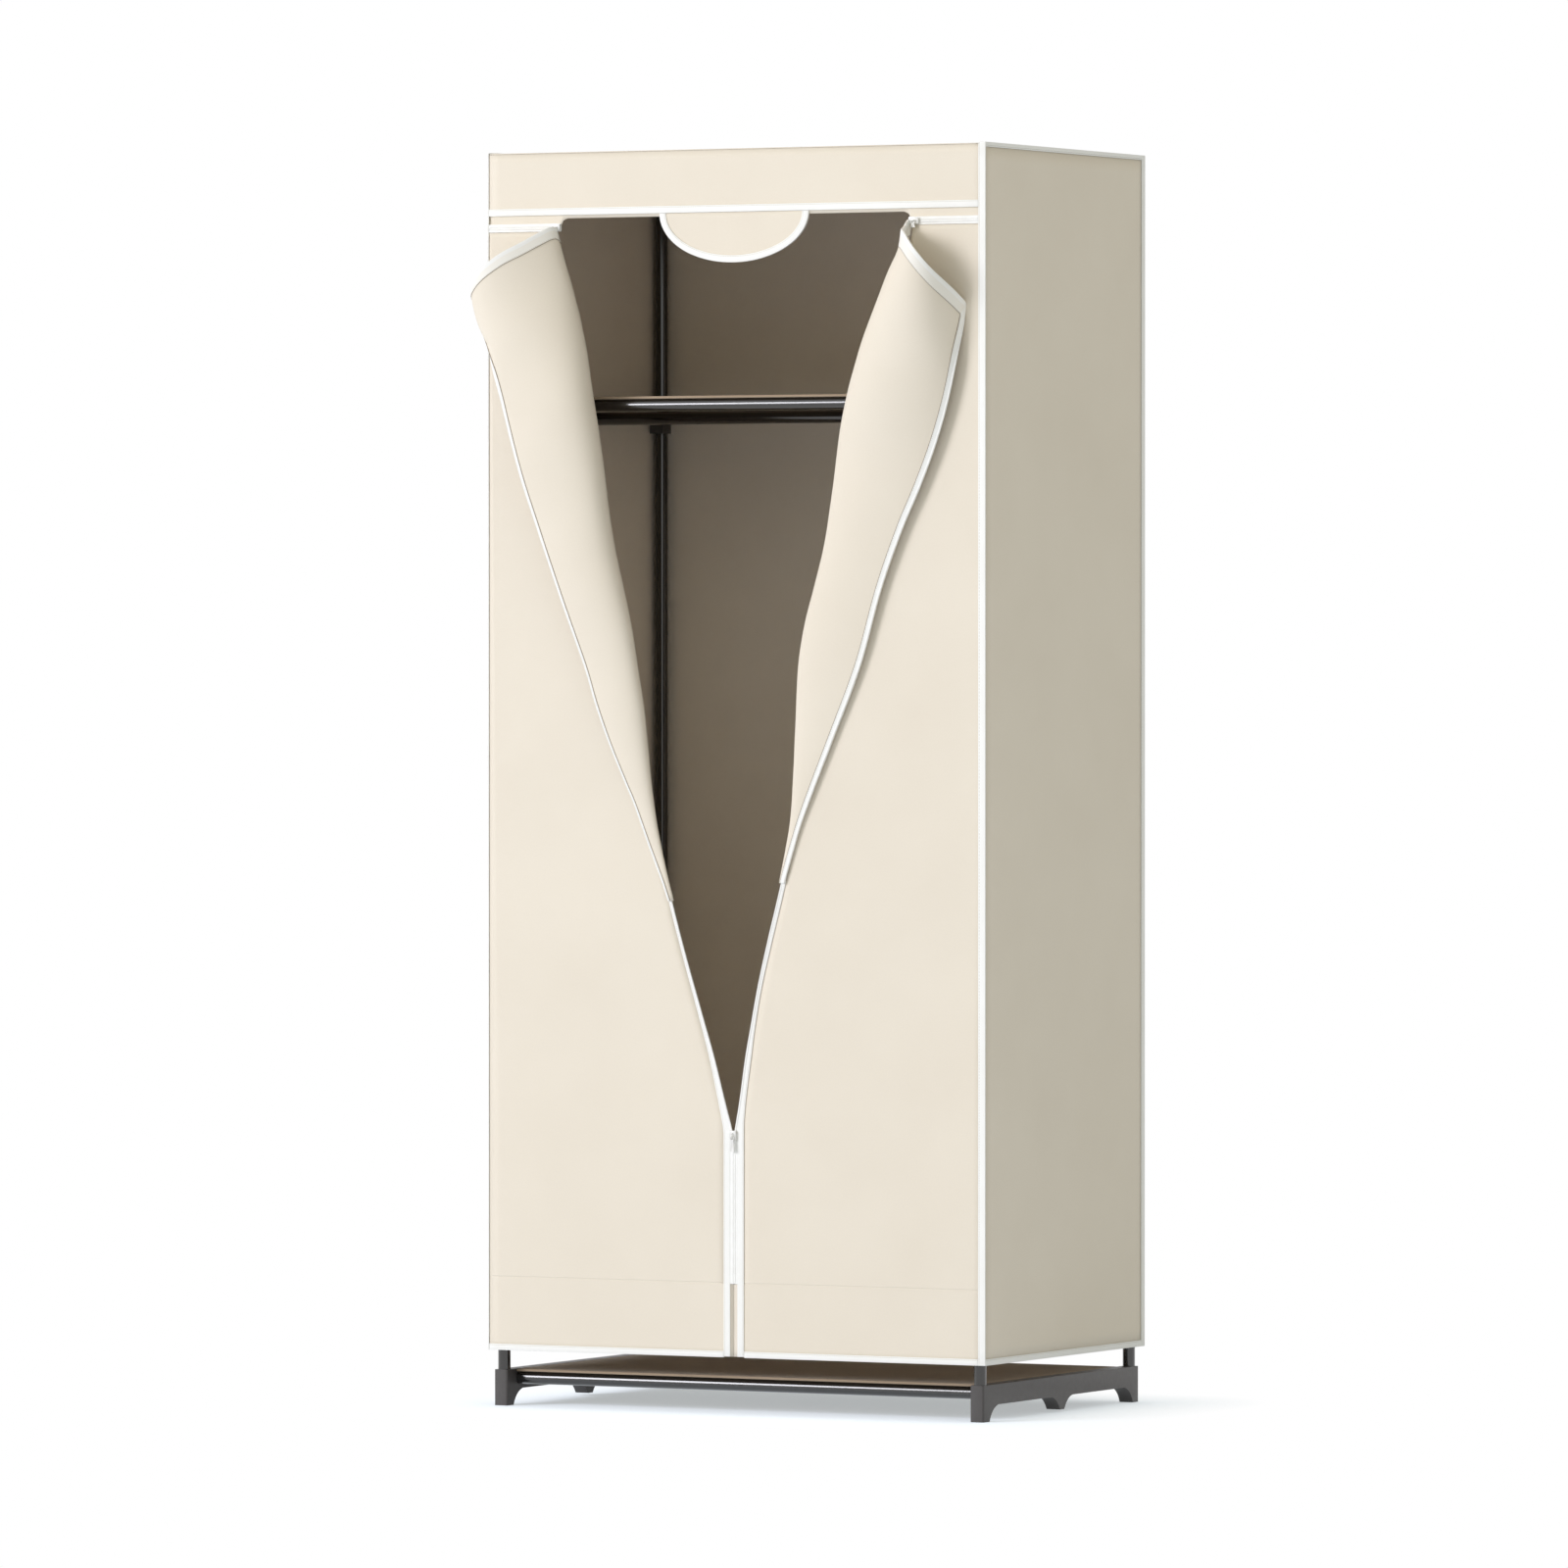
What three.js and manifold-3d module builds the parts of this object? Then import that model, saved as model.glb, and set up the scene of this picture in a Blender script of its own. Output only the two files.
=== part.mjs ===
// Portable fabric wardrobe: a steel tube frame with plastic end brackets under a zipped cloth cover.
// Millimetres, +Z up, the front faces -Y. The two front doors are unzipped and turned back as lapels.

import * as THREE from 'three';
import { mergeVertices } from 'three/addons/utils/BufferGeometryUtils.js';
import Module from 'manifold-3d';

const wasm = await Module();
wasm.setup();

// Driving dimensions of the cover
const coverWidth = 711;
const coverDepth = 457;
const coverHeight = 1600;
const hemHeight = 71.5;
const clothThickness = 1.2;
const tapeThickness = 0.8;
const seatGap = 0.3;

// Driving dimensions of the frame
const sideEase = 5.5;
const frontEase = 6.5;
const frameWidth = coverWidth - 2 * sideEase;
const frameDepth = coverDepth - 2 * frontEase;
const shelfDrop = 312;
const tubeRadius = 8;
const tubeWall = 1;
const bracketThickness = 19;
const beamHeight = 25.5;
const baseHeight = 46;
const socketWall = 1.2;
const tubeSocketDepth = 14;
const tubeInset = 32;
const tubeDrop = 11.5;
const panelEdgeGap = 0.3;
const tubeSides = 20;
const footCurveSegments = 6;
const tongueCurveSegments = 24;
const cutOverrun = 2;
const mergeDistance = 1e-4;

// Feet and middle boss of the base brackets
const footWidth = 17;
const footFlareWidth = 41;
const bossTopWidth = 66;
const bossFootWidth = 12;
const bossClearance = 3.5;
const flareHeightShare = 0.78;

// Sleeves of the shelf and top brackets
const sleeveDepth = 25;
const sleeveDrop = 13.5;
const postSocketDepth = 18;
const basePostSocketDepth = 28;
const topPostSocketDepth = 24;
const rodDrop = 24;
const rodBossWidth = 30;
const rodBossWall = 5.5;

// Posts: two lengths below the shelf, plugged into each other, and one above it
const postJointHeight = 655;
const spigotLength = 38;
const spigotRadius = 6.7;

// Front of the cover, from the top down
const headerHemDrop = 81;
const headerHemWidth = 9;
const doorTopDrop = 102;
const zipBandHeight = 10.2;
const stripOverlap = 26;
const zipBandThickness = 2;

// Tongue flap under the middle of the header
const tongueWidth = 213;
const tongueLength = 64;
const tongueTapeWidth = 9;

// Binding tapes
const cornerTapeWidth = 10;
const hemTapeWidth = 8;
const rearTapeWidth = 10;
const topTapeWidth = 6;
const sideFrontTapeWidth = 1.5;

// Zip down the middle of the doors
const chainHalfWidth = 5.2;
const doorTapeWidth = 9.2;
const doorTapeCover = 2.8;
const zipStopHeight = 164.5;
const zipApexHeight = 355;
const chainThickness = 2;

// Zip sliders and their pulls
const sliderLength = 14;
const sliderWidth = 10;
const sliderThickness = 3;
const bailLength = 8;
const bailWidth = 2;
const bailRise = 3.2;
const bailWire = 1.2;
const pullWidth = 6;
const pullThickness = 1.2;
const pullEyeWidth = 3.4;
const pullEyeLength = 4.6;
const centrePullLength = 20;
const headerPullLength = 9.5;
const headerSliderSetOut = 256;

// Lapels: cloth turned back over the door, wide at the top and running out at the lower end
const lapelTapeWidth = 8.5;
const lapelTopTapeWidth = 15;
const lapelTapeThickness = 1.6;
const foldLeastRadius = 2;
const lapelSeamGap = 0.9;
const lapelTopDrop = 6;
const rollSteps = 8;
const lapelRows = 14;
const lapelColumns = 6;
const pinchStartShare = 0.8;
const pinchLeftShare = 0.22;

// Places on a door as shares of its half width and of its height. rollRadius and tipReach are lengths.
const lapelShapes = {
  left: {
    side: -1,
    foldLowWidthShare: 0.2925,
    foldLowHeightShare: 0.4469,
    foldTopWidthShare: 0.737,
    foldBowShare: 0.017,
    edgeLowWidthShare: 0.335,
    edgeLowHeightShare: 0.437,
    tipWidthShare: 0.9705,
    tipHeightShare: 0.9439,
    edgeBowShare: 0.045,
    rollRadius: 34,
    tipReach: 62,
  },
  right: {
    side: 1,
    foldLowWidthShare: 0.208,
    foldLowHeightShare: 0.4462,
    foldTopWidthShare: 0.717,
    foldBowShare: 0.062,
    edgeLowWidthShare: 0.252,
    edgeLowHeightShare: 0.436,
    tipWidthShare: 0.982,
    tipHeightShare: 0.9236,
    edgeBowShare: 0.0366,
    rollRadius: 23,
    tipReach: 42,
  },
};

// Places that follow from the driving dimensions
const halfWidth = coverWidth / 2;
const halfDepth = coverDepth / 2;
const clothHalfWidth = halfWidth - tapeThickness - seatGap;
const clothFront = -halfDepth + tapeThickness + seatGap;
const clothMiddle = clothFront + clothThickness / 2;
const clothTop = coverHeight - tapeThickness - seatGap;
const wallTop = clothTop - clothThickness - seatGap;
const wallBottom = hemHeight + tapeThickness + seatGap;
const shelfHeight = coverHeight - shelfDrop;
const headerBottom = coverHeight - headerHemDrop;
const doorTop = coverHeight - doorTopDrop;
const doorHeight = doorTop - hemHeight;
const halfFrame = frameWidth / 2;
const postX = halfFrame - bracketThickness / 2;
const postY = frameDepth / 2 - tubeRadius - seatGap - socketWall;
const tubeY = frameDepth / 2 - tubeInset;
const bracketInside = halfFrame - bracketThickness;
const boreRadius = tubeRadius + seatGap;
const topBracketTop = wallTop;
const headerZipHeight = doorTop + seatGap + zipBandHeight / 2;
const zipFace = clothMiddle + clothThickness / 2 - zipBandThickness;
const tapeFront = -halfDepth;
const cornerInside = halfWidth - cornerTapeWidth;
const leftFrontEnd = halfWidth - sideFrontTapeWidth - seatGap;

const materials = {
  cover: new THREE.MeshStandardMaterial({ color: 0xeee5d6, roughness: 0.9, side: THREE.DoubleSide }),
  binding: new THREE.MeshStandardMaterial({ color: 0xfbfbf5, roughness: 0.8 }),
  shelf: new THREE.MeshStandardMaterial({ color: 0x504438, roughness: 0.92 }),
  tube: new THREE.MeshStandardMaterial({ color: 0x26221f, roughness: 0.28, metalness: 0.6 }),
  bracket: new THREE.MeshStandardMaterial({ color: 0x55504d, roughness: 0.6 }),
  zip: new THREE.MeshStandardMaterial({ color: 0xf7f7f2, roughness: 0.5 }),
  slider: new THREE.MeshStandardMaterial({ color: 0xeeeeea, roughness: 0.35, metalness: 0.3 }),
};

const wardrobe = new THREE.Group();

function place(name, geometry, material, x = 0, y = 0, z = 0) {
  const mesh = new THREE.Mesh(geometry, material);
  mesh.name = name;
  mesh.position.set(x, y, z);
  wardrobe.add(mesh);
  return mesh;
}

// A closed geometry as a solid that can be joined and cut
function solidOf(geometry) {
  const bare = geometry.clone();
  bare.deleteAttribute('normal');
  bare.deleteAttribute('uv');
  const merged = mergeVertices(bare, mergeDistance);
  return new wasm.Manifold(new wasm.Mesh({
    numProp: 3,
    vertProperties: new Float32Array(merged.attributes.position.array),
    triVerts: new Uint32Array(merged.index.array),
  }));
}

function geometryOf(solid) {
  const mesh = solid.getMesh();
  const geometry = new THREE.BufferGeometry();
  geometry.setAttribute('position', new THREE.BufferAttribute(mesh.vertProperties, 3));
  geometry.setIndex(new THREE.BufferAttribute(mesh.triVerts, 1));
  geometry.computeVertexNormals();
  return geometry;
}

// A box with its faces exactly at its lowest and highest corners
function boxBetween(low, high) {
  const box = new THREE.BoxGeometry(1, 1, 1);
  const corners = box.attributes.position;
  for (let i = 0; i < corners.count; i += 1) {
    const ends = [corners.getX(i), corners.getY(i), corners.getZ(i)].map((end, axis) => (
      end < 0 ? low[axis] : high[axis]));
    corners.setXYZ(i, ...ends);
  }
  return box;
}

// A solid bar along Z from one height to another
function barAlongZ(radius, low, high) {
  const bar = new THREE.CylinderGeometry(radius, radius, high - low, tubeSides);
  return bar.rotateX(Math.PI / 2).translate(0, 0, (low + high) / 2);
}

// A solid bar along X, at a place in Y and Z
function barAlongX(radius, low, high, y, z) {
  const bar = new THREE.CylinderGeometry(radius, radius, high - low, tubeSides);
  return bar.rotateZ(Math.PI / 2).translate((low + high) / 2, y, z);
}

// A flat outline in X and Z, given thickness from back to front
function plateInFront(shape, front, thickness, curveSegments = 1) {
  const plate = new THREE.ExtrudeGeometry(shape, { depth: thickness, bevelEnabled: false, curveSegments });
  return plate.rotateX(Math.PI / 2).translate(0, front + thickness, 0);
}

// A flat outline in Y and Z, given thickness across X from its inner face outwards
function plateAtSide(shape, inside, thickness, curveSegments = 1) {
  const plate = new THREE.ExtrudeGeometry(shape, { depth: thickness, bevelEnabled: false, curveSegments });
  return plate.rotateX(Math.PI / 2).rotateZ(Math.PI / 2).translate(inside, 0, 0);
}

function outline(points) {
  return new THREE.Shape(points.map(([x, z]) => new THREE.Vector2(x, z)));
}

// A grid of points on the middle of a cloth, as a closed solid of the cloth's thickness
function thickSheet(rows, thickness) {
  const rowCount = rows.length;
  const columnCount = rows[0].length;
  const positions = [];
  const layerNormals = rows.map((row, i) => row.map((point, j) => {
    const along = rows[Math.min(i + 1, rowCount - 1)][j].clone().sub(rows[Math.max(i - 1, 0)][j]);
    const across = row[Math.min(j + 1, columnCount - 1)].clone().sub(row[Math.max(j - 1, 0)]);
    return along.cross(across).normalize();
  }));
  for (const offset of [thickness / 2, -thickness / 2]) {
    rows.forEach((row, i) => row.forEach((point, j) => {
      const moved = point.clone().addScaledVector(layerNormals[i][j], offset);
      positions.push(moved.x, moved.y, moved.z);
    }));
  }
  const layer = rowCount * columnCount;
  const at = (i, j, back) => i * columnCount + j + back * layer;
  const index = [];
  const quad = (a, b, c, d) => index.push(a, b, c, a, c, d);
  for (let i = 0; i < rowCount - 1; i += 1) {
    for (let j = 0; j < columnCount - 1; j += 1) {
      quad(at(i, j, 0), at(i + 1, j, 0), at(i + 1, j + 1, 0), at(i, j + 1, 0));
      quad(at(i, j, 1), at(i, j + 1, 1), at(i + 1, j + 1, 1), at(i + 1, j, 1));
    }
    quad(at(i, 0, 0), at(i, 0, 1), at(i + 1, 0, 1), at(i + 1, 0, 0));
    const end = columnCount - 1;
    quad(at(i, end, 0), at(i + 1, end, 0), at(i + 1, end, 1), at(i, end, 1));
  }
  for (let j = 0; j < columnCount - 1; j += 1) {
    quad(at(0, j, 0), at(0, j + 1, 0), at(0, j + 1, 1), at(0, j, 1));
    const end = rowCount - 1;
    quad(at(end, j, 0), at(end, j, 1), at(end, j + 1, 1), at(end, j + 1, 0));
  }
  const geometry = new THREE.BufferGeometry();
  geometry.setAttribute('position', new THREE.Float32BufferAttribute(positions, 3));
  geometry.setIndex(index);
  geometry.computeVertexNormals();
  return geometry;
}

// Base brackets: one moulding at each end, with two feet, a middle boss and sockets
function baseBracketOutline() {
  const end = frameDepth / 2;
  const under = baseHeight - beamHeight;
  const shape = new THREE.Shape();
  shape.moveTo(-end, 0);
  shape.lineTo(-end + footWidth, 0);
  shape.quadraticCurveTo(-end + footWidth + (footFlareWidth - footWidth) / 4, under * flareHeightShare,
    -end + footFlareWidth, under);
  shape.lineTo(-bossTopWidth / 2, under);
  shape.quadraticCurveTo(-bossTopWidth / 4, under, -bossFootWidth / 2, bossClearance);
  shape.lineTo(bossFootWidth / 2, bossClearance);
  shape.quadraticCurveTo(bossTopWidth / 4, under, bossTopWidth / 2, under);
  shape.lineTo(end - footFlareWidth, under);
  shape.quadraticCurveTo(end - footWidth - (footFlareWidth - footWidth) / 4, under * flareHeightShare,
    end - footWidth, 0);
  shape.lineTo(end, 0);
  shape.lineTo(end, baseHeight);
  shape.lineTo(-end, baseHeight);
  return shape;
}

// Shelf and top brackets: a beam with a sleeve at each post, and a boss for a rod where there is one
function upperBracketOutline(top, withBoss) {
  const end = frameDepth / 2;
  const under = top - beamHeight;
  const sleeveBottom = under - sleeveDrop;
  const points = [[-end, sleeveBottom], [-end + sleeveDepth, sleeveBottom], [-end + sleeveDepth, under]];
  if (withBoss) {
    const bossBottom = top - rodDrop - boreRadius - rodBossWall;
    points.push([-rodBossWidth / 2, under], [-rodBossWidth / 2, bossBottom]);
    points.push([rodBossWidth / 2, bossBottom], [rodBossWidth / 2, under]);
  }
  points.push([end - sleeveDepth, under], [end - sleeveDepth, sleeveBottom]);
  points.push([end, sleeveBottom], [end, top], [-end, top]);
  return outline(points);
}

// Cuts the round sockets of one bracket. The outline's inner face is at bracketInside, before mirroring.
function bracketWithSockets(shape, postSockets, tubeSockets) {
  let solid = solidOf(plateAtSide(shape, bracketInside, bracketThickness, footCurveSegments));
  for (const [y, low, high] of postSockets) {
    solid = solid.subtract(solidOf(barAlongZ(boreRadius, low, high).translate(postX, y, 0)));
  }
  for (const [y, z] of tubeSockets) {
    const socket = barAlongX(boreRadius, bracketInside - cutOverrun, bracketInside + tubeSocketDepth, y, z);
    solid = solid.subtract(solidOf(socket));
  }
  return geometryOf(solid);
}

// The left end is the right end seen in a mirror
function mirroredInX(geometry) {
  const mirrored = geometry.clone().scale(-1, 1, 1);
  const index = mirrored.index.array;
  for (let i = 0; i < index.length; i += 3) {
    [index[i], index[i + 1]] = [index[i + 1], index[i]];
  }
  mirrored.computeVertexNormals();
  return mirrored;
}

function placePair(name, geometry, material) {
  place(`${name}_right`, geometry, material);
  place(`${name}_left`, mirroredInX(geometry), material);
}

const bothEnds = [-1, 1];

function addBrackets() {
  const baseShape = baseBracketOutline();
  const basePostLow = baseHeight - basePostSocketDepth;
  const basePosts = bothEnds.map((end) => [end * postY, basePostLow, baseHeight + cutOverrun]);
  const baseTubes = bothEnds.map((end) => [end * tubeY, baseHeight - tubeDrop]);
  placePair('base_bracket', bracketWithSockets(baseShape, basePosts, baseTubes), materials.bracket);

  const shelfUnder = shelfHeight - beamHeight - sleeveDrop;
  const shelfPosts = bothEnds.flatMap((end) => [
    [end * postY, shelfUnder - cutOverrun, shelfUnder + postSocketDepth],
    [end * postY, shelfHeight - postSocketDepth, shelfHeight + cutOverrun],
  ]);
  const shelfTubes = bothEnds.map((end) => [end * tubeY, shelfHeight - tubeDrop]);
  shelfTubes.push([0, shelfHeight - rodDrop]);
  const shelfShape = upperBracketOutline(shelfHeight, true);
  placePair('shelf_bracket', bracketWithSockets(shelfShape, shelfPosts, shelfTubes), materials.bracket);

  const topUnder = topBracketTop - beamHeight - sleeveDrop;
  const topPosts = bothEnds.map((end) => [end * postY, topUnder - cutOverrun, topUnder + topPostSocketDepth]);
  const topTubes = bothEnds.map((end) => [end * tubeY, topBracketTop - tubeDrop]);
  const topShape = upperBracketOutline(topBracketTop, false);
  placePair('top_bracket', bracketWithSockets(topShape, topPosts, topTubes), materials.bracket);
}

// Steel tubes across the wardrobe, hollow from end to end
function crossTube(radius) {
  const reach = bracketInside + tubeSocketDepth - seatGap;
  const outer = solidOf(barAlongX(radius, -reach, reach, 0, 0));
  const bore = solidOf(barAlongX(radius - tubeWall, -reach - cutOverrun, reach + cutOverrun, 0, 0));
  return geometryOf(outer.subtract(bore));
}

function addCrossTubes() {
  const levels = [['base', baseHeight], ['shelf', shelfHeight], ['top', topBracketTop]];
  for (const [level, top] of levels) {
    place(`${level}_tube_front`, crossTube(tubeRadius), materials.tube, 0, -tubeY, top - tubeDrop);
    place(`${level}_tube_rear`, crossTube(tubeRadius), materials.tube, 0, tubeY, top - tubeDrop);
  }
  place('hanging_rod', crossTube(tubeRadius), materials.tube, 0, 0, shelfHeight - rodDrop);
}

// A length of post; a lower length ends in a drawn-in spigot that plugs into the next one
function postLength(low, high, withSpigot) {
  const top = withSpigot ? high + spigotLength : high;
  let post = solidOf(barAlongZ(tubeRadius, low, high));
  if (withSpigot) {
    post = post.add(solidOf(barAlongZ(spigotRadius, high - spigotLength, top)));
  }
  const boreTop = withSpigot ? high - tubeWall : top + cutOverrun;
  post = post.subtract(solidOf(barAlongZ(tubeRadius - tubeWall, low - cutOverrun, boreTop)));
  if (withSpigot) {
    const spigotBore = barAlongZ(spigotRadius - tubeWall, high - spigotLength, top + cutOverrun);
    post = post.subtract(solidOf(spigotBore));
  }
  return geometryOf(post);
}

function addPosts() {
  const lower = postLength(baseHeight - basePostSocketDepth + seatGap, postJointHeight, true);
  const shelfUnder = shelfHeight - beamHeight - sleeveDrop;
  const middle = postLength(postJointHeight + seatGap, shelfUnder + postSocketDepth - seatGap, false);
  const topUnder = topBracketTop - beamHeight - sleeveDrop;
  const upperLow = shelfHeight - postSocketDepth + seatGap;
  const upper = postLength(upperLow, topUnder + topPostSocketDepth - seatGap, false);
  const corners = [
    ['front_left', -1, -1],
    ['front_right', 1, -1],
    ['rear_left', -1, 1],
    ['rear_right', 1, 1],
  ];
  for (const [corner, sideways, backwards] of corners) {
    place(`post_lower_${corner}`, lower, materials.tube, sideways * postX, backwards * postY);
    place(`post_middle_${corner}`, middle, materials.tube, sideways * postX, backwards * postY);
    place(`post_upper_${corner}`, upper, materials.tube, sideways * postX, backwards * postY);
  }
}

// Cloth-covered boards that lie on the tubes between the brackets, flush with the brackets' tops
function addShelfPanels() {
  const reach = bracketInside - panelEdgeGap;
  const depth = tubeY + tubeRadius;
  for (const [name, top] of [['base_shelf_panel', baseHeight], ['upper_shelf_panel', shelfHeight]]) {
    const low = top - tubeDrop + tubeRadius + seatGap;
    place(name, boxBetween([-reach, -depth, low], [reach, depth, top]), materials.shelf);
  }
}

// Plain panels of the cover: top, sides, back, and the header across the front
function addCoverPanels() {
  const wide = clothHalfWidth;
  const front = clothFront;
  const back = -clothFront;
  const sideReach = back - clothThickness - seatGap;
  const top = boxBetween([-wide, front, clothTop - clothThickness], [wide, back, clothTop]);
  place('cover_top', top, materials.cover);
  const sideWall = boxBetween([wide - clothThickness, -sideReach, wallBottom], [wide, sideReach, wallTop]);
  place('cover_right', sideWall, materials.cover);
  place('cover_left', sideWall.clone().translate(clothThickness - wide * 2, 0, 0), materials.cover);
  const backWall = boxBetween([-wide, back - clothThickness, wallBottom], [wide, back, wallTop]);
  place('cover_back', backWall, materials.cover);
  const header = boxBetween([-wide, front, headerBottom], [wide, front + clothThickness, wallTop]);
  place('header_band', header, materials.cover);

  const stripFront = front + clothThickness + seatGap;
  const stripHalf = wide - clothThickness - seatGap;
  const strip = boxBetween([-stripHalf, stripFront, doorTop + seatGap],
    [stripHalf, stripFront + clothThickness, headerBottom + stripOverlap]);
  place('header_strip', strip, materials.cover);
}

// Tape along the front hem between two places in X, turned under the cloth's lower edge
function turnedHem(start, end) {
  const back = clothFront + clothThickness;
  const high = hemHeight + hemTapeWidth;
  const tape = solidOf(boxBetween([start, tapeFront, hemHeight], [end, back, high]));
  const behind = solidOf(boxBetween(
    [start - cutOverrun, tapeFront + tapeThickness, hemHeight + tapeThickness],
    [end + cutOverrun, back + cutOverrun, high + cutOverrun],
  ));
  return geometryOf(tape.subtract(behind));
}

// A tape folded over all four edges of a side panel, which it covers for frontWidth at the front
function sideRing(frontWidth) {
  const outside = halfWidth - tapeThickness;
  return solidOf(boxBetween([cornerInside, -halfDepth, hemHeight], [halfWidth, halfDepth, coverHeight]))
    .subtract(solidOf(boxBetween(
      [cornerInside - cutOverrun, -halfDepth + tapeThickness, hemHeight - cutOverrun],
      [outside, halfDepth - tapeThickness, coverHeight - tapeThickness],
    )))
    .subtract(solidOf(boxBetween(
      [outside - cutOverrun, -halfDepth + frontWidth, hemHeight + hemTapeWidth],
      [halfWidth + cutOverrun, halfDepth - rearTapeWidth, coverHeight - topTapeWidth],
    )));
}

// Tapes sewn over the cover's edges. The left ring lies on its side panel and shows only its edge in front.
function addBindings() {
  place('side_binding_right', geometryOf(sideRing(sideFrontTapeWidth)), materials.binding);
  const frontCut = solidOf(boxBetween([cornerInside - cutOverrun, -halfDepth - cutOverrun, 0],
    [leftFrontEnd + seatGap, clothFront + clothThickness + seatGap, coverHeight + cutOverrun]));
  const leftRing = geometryOf(sideRing(cornerTapeWidth).subtract(frontCut));
  place('side_binding_left', mirroredInX(leftRing), materials.binding);

  const hemEnd = cornerInside - seatGap;
  const hemStart = chainHalfWidth + doorTapeWidth + seatGap;
  place('hem_binding_front_right', turnedHem(hemStart, hemEnd), materials.binding);
  place('hem_binding_front_left', turnedHem(-leftFrontEnd, -hemStart), materials.binding);
  const backHem = turnedHem(-hemEnd, hemEnd).rotateZ(Math.PI);
  place('hem_binding_back', backHem, materials.binding);

  const headerHem = boxBetween([-leftFrontEnd, tapeFront, headerBottom],
    [hemEnd, tapeFront + tapeThickness, headerBottom + headerHemWidth]);
  place('header_hem_binding', headerHem, materials.binding);
}

// Half-oval tongue that hangs below the header, with its own binding; both swing up about its top edge
function addTongue() {
  const top = headerBottom - seatGap;
  const halfTongue = tongueWidth / 2;
  const depth = tongueLength - seatGap;
  const flap = new THREE.Shape();
  flap.moveTo(-halfTongue, top);
  flap.absellipse(0, top, halfTongue, depth, Math.PI, 2 * Math.PI, false);
  const cloth = plateInFront(flap, clothFront, clothThickness, tongueCurveSegments);
  place('tongue_flap', cloth, materials.cover);

  const rim = new THREE.Shape();
  rim.moveTo(-halfTongue, top);
  rim.absellipse(0, top, halfTongue, depth, Math.PI, 2 * Math.PI, false);
  rim.lineTo(halfTongue - tongueTapeWidth, top);
  rim.absellipse(0, top, halfTongue - tongueTapeWidth, depth - tongueTapeWidth, 2 * Math.PI, Math.PI, true);
  const tape = plateInFront(rim, tapeFront, tapeThickness, tongueCurveSegments);
  place('tongue_binding', tape, materials.binding);
}

// Where the fold of a lapel starts in the door's plane; v runs from its lower end, 0, to the top, 1
function foldPoint(shape, v) {
  const low = shape.foldLowWidthShare * halfWidth;
  const high = shape.foldTopWidthShare * halfWidth;
  const lowZ = hemHeight + shape.foldLowHeightShare * doorHeight;
  const highZ = doorTop - lapelTopDrop;
  const bow = 4 * shape.foldBowShare * halfWidth * v * (1 - v);
  return { x: shape.side * (low + (high - low) * v - bow), z: lowZ + (highZ - lowZ) * v };
}

// Where the free edge of a lapel lies over the door
function edgePoint(shape, v) {
  const low = shape.edgeLowWidthShare * halfWidth;
  const high = shape.tipWidthShare * halfWidth;
  const lowZ = hemHeight + shape.edgeLowHeightShare * doorHeight;
  const highZ = hemHeight + shape.tipHeightShare * doorHeight;
  const bow = 4 * shape.edgeBowShare * halfWidth * v * (1 - v);
  return { x: shape.side * (low + (high - low) * v + bow), z: lowZ + (highZ - lowZ) * v };
}

// The fold's radius grows with height and is pinched in again where the top corner meets its slider
function foldRadius(shape, v) {
  const open = foldLeastRadius + (shape.rollRadius - foldLeastRadius) * v;
  const t = THREE.MathUtils.smoothstep(v, pinchStartShare, 1);
  return open * (1 - t * (1 - pinchLeftShare));
}

function edgeReach(shape, v) {
  const least = 2 * foldLeastRadius;
  return least + (shape.tipReach - least) * v;
}

// The roll: half a turn forwards and back over the door. angle runs from 0 to PI.
function rollPoint(shape, v, angle) {
  const fold = foldPoint(shape, v);
  const radius = foldRadius(shape, v);
  const x = fold.x - shape.side * (seatGap + radius * Math.sin(angle));
  return new THREE.Vector3(x, clothMiddle - radius * (1 - Math.cos(angle)), fold.z);
}

function lapelWidth(shape, v) {
  const fold = foldPoint(shape, v);
  const edge = edgePoint(shape, v);
  return Math.hypot(edge.x - fold.x, edge.z - fold.z);
}

// The lapel itself, from the end of the roll, 0, to its free edge; distance is a length across it
function lapelPoint(shape, v, distance) {
  const fold = foldPoint(shape, v);
  const edge = edgePoint(shape, v);
  const share = distance / lapelWidth(shape, v);
  const near = 2 * foldRadius(shape, v);
  const reach = near + (edgeReach(shape, v) - near) * share;
  const start = fold.x - shape.side * seatGap;
  return new THREE.Vector3(start + (edge.x - start) * share, clothMiddle - reach,
    fold.z + (edge.z - fold.z) * share);
}

function steps(count) {
  return Array.from({ length: count + 1 }, (_, i) => i / count);
}

// Turns the grid over for the other side, so that both sheets face outwards
function sheetFor(shape, rows, thickness) {
  return thickSheet(shape.side < 0 ? rows : rows.map((row) => [...row].reverse()), thickness);
}

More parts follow.
